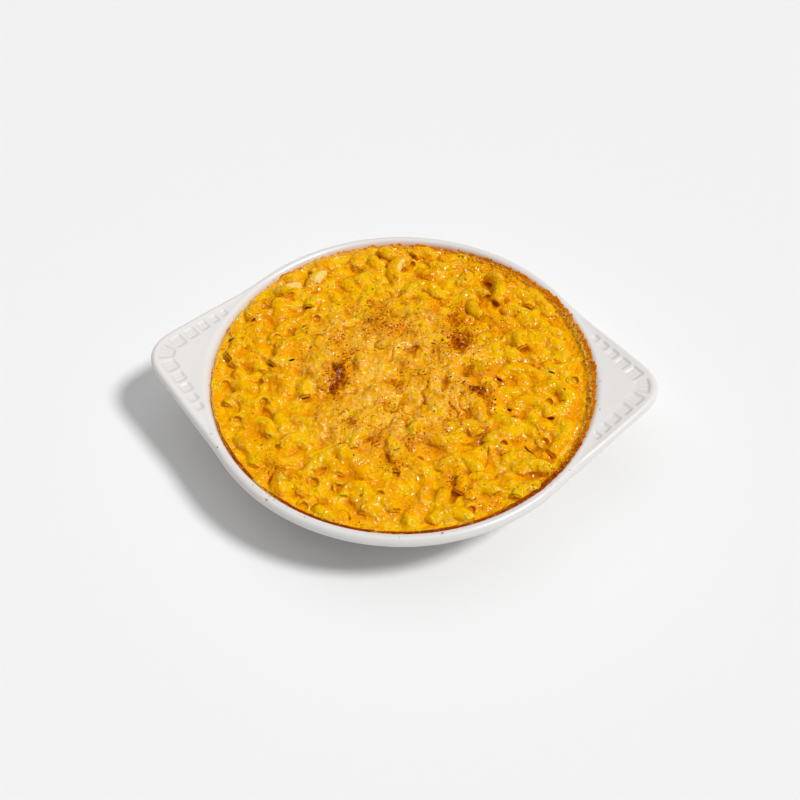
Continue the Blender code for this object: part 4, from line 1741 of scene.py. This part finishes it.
@dataclass
class Scatter:
    """Strews grains over the finished surface."""

    surface: BVHTree

    def drop(self, plan: Array) -> tuple[Array, Array]:
        """Lets places fall straight down on the surface.

        Args:
            plan: Places in plan, in mm, shape (n, 2).

        Returns:
            Where they land and the surface's normals there.
        """
        landed, normals = [], []
        down = Vector((0.0, 0.0, -1.0))
        for x, y in plan:
            hit, normal, _, _ = self.surface.ray_cast(Vector((x, y, 70.0)), down)
            if hit is not None:
                landed.append(hit)
                normals.append(normal)
        return np.array(landed), np.array(normals)

    def strew(self, kind: Sprinkle, plan: Array) -> Object:
        """Lays a grain at every place, turned at random about the surface's normal.

        Args:
            kind: The grain, its sizes and how it lies.
            plan: Places in plan, in mm.

        Returns:
            One joined mesh object.
        """
        rng = np.random.default_rng(kind.seed)
        places, normals = self.drop(plan)
        count, corners = len(places), len(kind.grain.points)
        aside = unit(np.cross(normals, unit(rng.normal(size=(count, 3)))))
        onward = np.cross(normals, aside)
        least, most = kind.sizes
        across = (least + (most - least) * rng.random(count) ** 2.2)[:, None]
        longer = rng.uniform(*kind.stretch, count)[:, None]
        lengths = [across * longer**0.5, across / longer**0.5, across * kind.thickness]
        scale = np.concatenate(lengths, axis=-1) / 2.0
        jitter = rng.uniform(0.72, 1.22, (count, corners, 1))
        local = kind.grain.points[None] * scale[:, None] * jitter
        frames = np.stack([aside, onward, normals], axis=1)
        middle = places - normals * across * kind.sink
        points = np.einsum("nki,nij->nkj", local, frames) + middle[:, None]
        triangles = kind.grain.triangles[None] + (np.arange(count) * corners)[:, None, None]
        return make_piece(kind.name, points.reshape(-1, 3), None, triangles.reshape(-1, 3))


@dataclass
class Toppings:
    """Crumbs, paprika, pepper, herbs and splashes."""

    heap: Heap
    surface: BVHTree
    crust: BrownedCrust

    # Charred herb slivers: x, y, length, width, heading in degrees.
    SLIVERS = (
        (-88, 15, 3.4, 1.3, 35), (-55, 2, 3.4, 1.2, 35), (74, 8, 3.4, 1.1, -20),
        (14, 19, 2.2, 0.7, 0), (64, -40.5, 6.6, 0.8, -48), (31, -5, 2.4, 0.8, 60),
    )

    # Crumbs along the crust, paprika flakes, cracked pepper, and dried flecks of sauce.
    CRUMBS = Sprinkle("crust_crumbs", Grain.lump(), 82, (0.5, 1.5), (1.0, 1.6), 0.7, 0.1)
    PAPRIKA = Sprinkle("paprika_flakes", Grain.flake(), 85, (0.55, 1.5), (1.0, 1.8), 0.1, 0.02)
    PEPPER = Sprinkle("cracked_pepper", Grain.lump(), 87, (0.5, 1.2), (1.0, 1.9), 0.5, 0.05)
    FLECKS = Sprinkle("sauce_flecks", Grain.flake(), 90, (0.4, 1.3), (1.0, 2.0), 0.16, 0.0)

    def build(self) -> None:
        """Builds every topping as a piece of its own.

        Paprika lies most where the cheese is thick, and pepper lies all over.
        """
        self._crumbs()
        self._strew(
            self.PAPRIKA, self._disc(1500, seed=84, cell=9.0, low=-0.35, high=0.6),
            DrySeasoning("ground_paprika", "#9C4C06", "#CC7E14", 0.7),
        )
        self._strew(
            self.PEPPER, self._disc(190, seed=86, cell=14.0, low=-0.9, high=0.5),
            DrySeasoning("cracked_black_pepper", "#160D08", "#3A2112", 0.55),
        )
        self._herbs()
        self._strew(
            self.FLECKS, self._lip(26, seed=89),
            DrySeasoning("dried_sauce_flecks", "#C9913F", "#DDB67A", 0.4),
        )

    def _strew(self, kind: Sprinkle, plan: Array, finish: DrySeasoning) -> None:
        """Strews one kind of grain and dresses it."""
        piece = Scatter(self.surface).strew(kind, plan)
        place_piece(piece, Slot.CHEESE, finish.make())

    def _ring(self, count: int, seed: int, inner: float, outer: float) -> Array:
        """Places round the rim, thick where the crust crumbles."""
        rng = np.random.default_rng(seed)
        azimuth = rng.uniform(-math.pi, math.pi, 4 * count)
        keep = rng.random(4 * count) < 0.12 + 0.88 * self.heap.rim_crumble(azimuth)
        azimuth = azimuth[keep][:count]
        return polar(rng.uniform(inner, outer, len(azimuth)), azimuth)

    def _lip(self, count: int, seed: int) -> Array:
        """Places on the white lip, most of the way round the front."""
        rng = np.random.default_rng(seed)
        azimuth = rng.uniform(-math.pi, 0.2, count)
        return polar(rng.uniform(95.9, 98.6, count), azimuth)

    def _disc(self, count: int, seed: int, cell: float, low: float, high: float) -> Array:
        """Places all over the top, gathered in drifts: noise of a cell decides which stay."""
        rng = np.random.default_rng(seed)
        plan = rng.uniform(-92.0, 92.0, (8 * count, 2))
        drift = ease(low, high, lattice_noise(on_level(*plan.T), cell, seed + 1, 2))
        middle = 0.45 + 0.55 * self.heap.blanket(plan[:, 0], plan[:, 1])
        keep = (np.hypot(*plan.T) < 91.5) & (rng.random(len(plan)) < drift * middle)
        return plan[keep][:count]

    def _crumbs(self) -> None:
        """Crumbs along the crust, each with its own browning."""
        plan = self._ring(760, seed=81, inner=91.3, outer=95.1)
        piece = Scatter(self.surface).strew(self.CRUMBS, plan)
        corners = len(self.CRUMBS.grain.points)
        count = len(piece.data.vertices) // corners
        char = np.random.default_rng(83).uniform(0.2, 1.1, count)
        layer = piece.data.attributes.new("char", "FLOAT", "POINT")
        layer.data.foreach_set("value", np.repeat(char, corners).astype(np.float32))
        place_piece(piece, Slot.CHEESE, self.crust.make())

    def _herbs(self) -> None:
        """A few charred slivers of herb, each a curled strip pressed on the cheese.

        A sliver is a closed tube of flat section: its half-width falls to the tips as a root of
        a sine, and it follows the surface under it.
        """
        finish = DrySeasoning("charred_herb", "#120B07", "#33200F", 0.5)
        rng = np.random.default_rng(88)
        points, quads, caps, start = [], [], [], 0
        steps, sides = 9, 6
        share = np.linspace(0.0, 1.0, steps)
        spin = np.linspace(0.0, 2.0 * math.pi, sides, endpoint=False)
        for x, y, length, width, heading in self.SLIVERS:
            turn = math.radians(heading)
            along = np.array([math.cos(turn), math.sin(turn)])
            bend = rng.uniform(-0.5, 0.5)
            line = (share - 0.5)[:, None] * length * along
            line = line + (np.sin(np.pi * share) * bend)[:, None] * np.array([-along[1], along[0]])
            landed, normals = Scatter(self.surface).drop(line + [x, y])
            normal = unit(normals.mean(axis=0) + np.array([0.0, 0.0, 0.6]))
            level = landed[:, 2].mean() + (landed[:, 2] - landed[:, 2].mean()) * 0.5
            spine = np.concatenate([line + [x, y], (level + 0.3)[:, None]], axis=-1)
            ahead = unit(np.gradient(spine, axis=0))
            across = unit(np.cross(normal[None], ahead))
            up = np.cross(ahead, across)
            taper = np.maximum(np.sin(np.pi * np.clip(share, 0.03, 0.97)) ** 0.5, 0.2)
            taper = taper * rng.uniform(0.75, 1.1, steps)
            ring = (
                across[:, None] * (np.cos(spin) * width / 2.0)[None, :, None]
                + up[:, None] * (np.sin(spin) * width / 4.5)[None, :, None]
            ) * taper[:, None, None]
            ends = np.stack([spine[0], spine[-1]])
            points += [(spine[:, None] + ring).reshape(-1, 3), ends]
            quads.append(grid_quads(steps, sides)[:, ::-1] + start)
            low, pole = np.arange(sides) + start, start + steps * sides
            caps += [fan(pole, low, False), fan(pole + 1, low + (steps - 1) * sides, True)]
            start = pole + 2
        piece = make_piece("charred_herb_slivers", *map(np.concatenate, (points, quads, caps)))
        place_piece(piece, Slot.CHEESE, finish.make())


# ---- Studio ----


@dataclass
class Studio:
    """A pale floor, one soft key light from the right, a wide fill overhead, and the camera."""

    dish: GratinDish
    floor_shade: str = "#F4F4F4"
    surround: float = 0.145
    # The camera's place, seen from the middle of the rim, and where it looks, in degrees.
    camera_distance: float = 0.6
    camera_from: tuple[float, float] = (-84.73, 48.75)
    camera_to: tuple[float, float] = (95.393, -49.89)
    focal_length: float = 54.45

    # Each light's heading, elevation, spread and strength, and whether it glints.
    LIGHTS: ClassVar[dict[str, tuple]] = {
        "key": (-14.0, 56.0, 11.0, 2.2, True), "fill": (120.0, 72.0, 70.0, 0.87, False),
    }

    def build(self) -> None:
        """Sets floor, surroundings, lights and camera."""
        self._floor()
        self._surroundings()
        for name, settings in self.LIGHTS.items():
            self._light(name, *settings)
        self._camera()
        bpy.context.scene.view_settings.view_transform = "Standard"

    def _floor(self) -> None:
        """A wide level floor just under the foot: a paper sweep, matt and even."""
        ticks = np.linspace(-4000.0, 4000.0, 3)
        x, y = np.meshgrid(ticks, ticks)
        points = np.stack([x.ravel(), y.ravel(), np.full(9, -0.05)], axis=-1)
        quads = np.array([[0, 1, 4, 3], [1, 2, 5, 4], [3, 4, 7, 6], [4, 5, 8, 7]])
        floor = make_piece("studio_floor", points, quads)
        material, tree = new_material("sweep_paper")
        paper = add_node(
            tree, "BsdfPrincipled", None,
            {"Base Color": linear(self.floor_shade), "Roughness": 0.9, "Specular IOR Level": 0.2},
        )
        add_node(tree, "OutputMaterial", None, {"Surface": paper.outputs["BSDF"]})
        floor.data.materials.append(material)

    def _surroundings(self) -> None:
        """An even pale surround that lights the hollows and leaves no haze in the wet skin."""
        world = bpy.data.worlds.new("studio_surround")
        world.cycles_visibility.glossy = False
        world.use_nodes = True
        world.node_tree.nodes.clear()
        glow = add_node(
            world.node_tree, "Background", None,
            {"Color": linear("#FFFFFF"), "Strength": self.surround},
        )
        add_node(world.node_tree, "OutputWorld", None, {"Surface": glow.outputs["Background"]})
        bpy.context.scene.world = world

    def _light(
        self, name: str, heading: float, elevation: float,
        spread: float, strength: float, glints: bool,
    ) -> None:
        """Sets a far soft light, as wide as its spread in degrees, shining on the dish."""
        away = pointing(heading, elevation)
        lamp = bpy.data.lights.new(name, "SUN")
        lamp.angle = math.radians(spread)
        lamp.energy = strength
        hung = bpy.data.objects.new(name, lamp)
        hung.visible_glossy = glints
        hung.location = away
        hung.rotation_euler = (-away).to_track_quat("-Z", "Y").to_euler()
        bpy.context.scene.collection.objects.link(hung)

    def _camera(self) -> None:
        """A camera 0.6 m from the middle of the rim, 49 degrees up and a little to the right.

        Its axis is pitched 1.2 degrees below the line to the rim's middle, so the dish stands a
        little above the middle of the frame.
        """
        rim_middle = Vector((0.0, 0.0, (self.dish.rim_height - self.dish.lip_rise) * MM))
        lens = bpy.data.cameras.new("camera")
        lens.sensor_width = 36.0
        lens.lens = self.focal_length
        lens.clip_start, lens.clip_end = 0.01, 20.0
        camera = bpy.data.objects.new("camera", lens)
        camera.location = rim_middle + pointing(*self.camera_from) * self.camera_distance
        camera.rotation_euler = pointing(*self.camera_to).to_track_quat("-Z", "Y").to_euler()
        bpy.context.scene.collection.objects.link(camera)
        bpy.context.scene.camera = camera


def surface_tree(pieces: list[Object]) -> BVHTree:
    """One tree, in mm, of the pieces that toppings fall on."""
    points, faces, start = [], [], 0
    for piece in pieces:
        mesh = piece.data
        places = np.empty(3 * len(mesh.vertices), np.float32)
        mesh.vertices.foreach_get("co", places)
        mesh.calc_loop_triangles()
        corners = np.empty(3 * len(mesh.loop_triangles), np.int32)
        mesh.loop_triangles.foreach_get("vertices", corners)
        points.append(places.reshape(-1, 3) / MM)
        faces.append(corners.reshape(-1, 3) + start)
        start += len(mesh.vertices)
    return BVHTree.FromPolygons(np.concatenate(points).tolist(), np.concatenate(faces).tolist())


def main() -> None:
    """Builds the dish, the filling, the crust and the toppings, and lights them."""
    logging.basicConfig(level=logging.INFO, format="%(message)s")
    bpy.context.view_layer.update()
    dish = GratinDish.from_model()
    shell = dish.build()

    heap = Heap(dish)
    laid = heap.laid_elbows()
    outer = heap.loose_elbows(laid, wanted=90, inner=42.0, outer=90.5, seed=21)
    shown = Bends.join([laid, outer])
    middle = heap.loose_elbows(shown, wanted=40, inner=0.0, outer=56.0, seed=22)
    log.info("elbows: %d laid, %d loose, %d under the blanket", len(laid), len(outer), len(middle))

    body = HeapField(heap)
    for tubes, swell in ((heap.buried_elbows(), 0.0), (middle, 0.3), (shown, -0.15)):
        body.add_tubes(tubes, swell)
    body.melt()
    body.roughen()
    body.fit_dish()
    body.open_bores(shown, radius=heap.sizes.bore_radius + 0.1)
    relief = Relief(body)

    core = CheeseCore(heap, body, relief, BakedCheese("baked_cheese_sauce")).build()
    pasta = BakedCheese("cheese_coated_pasta", golden="#FFB000", grain=0.85)
    elbows = ElbowMacaroni(heap, relief, shown, pasta).build()
    chips = CheeseChips(heap).build()
    crust_finish = BrownedCrust()
    crust = RimCrust(heap, crust_finish).build()
    Toppings(heap, surface_tree([core, elbows, chips, crust, shell]), crust_finish).build()

    Studio(dish).build()


if __name__ == "__main__":
    main()
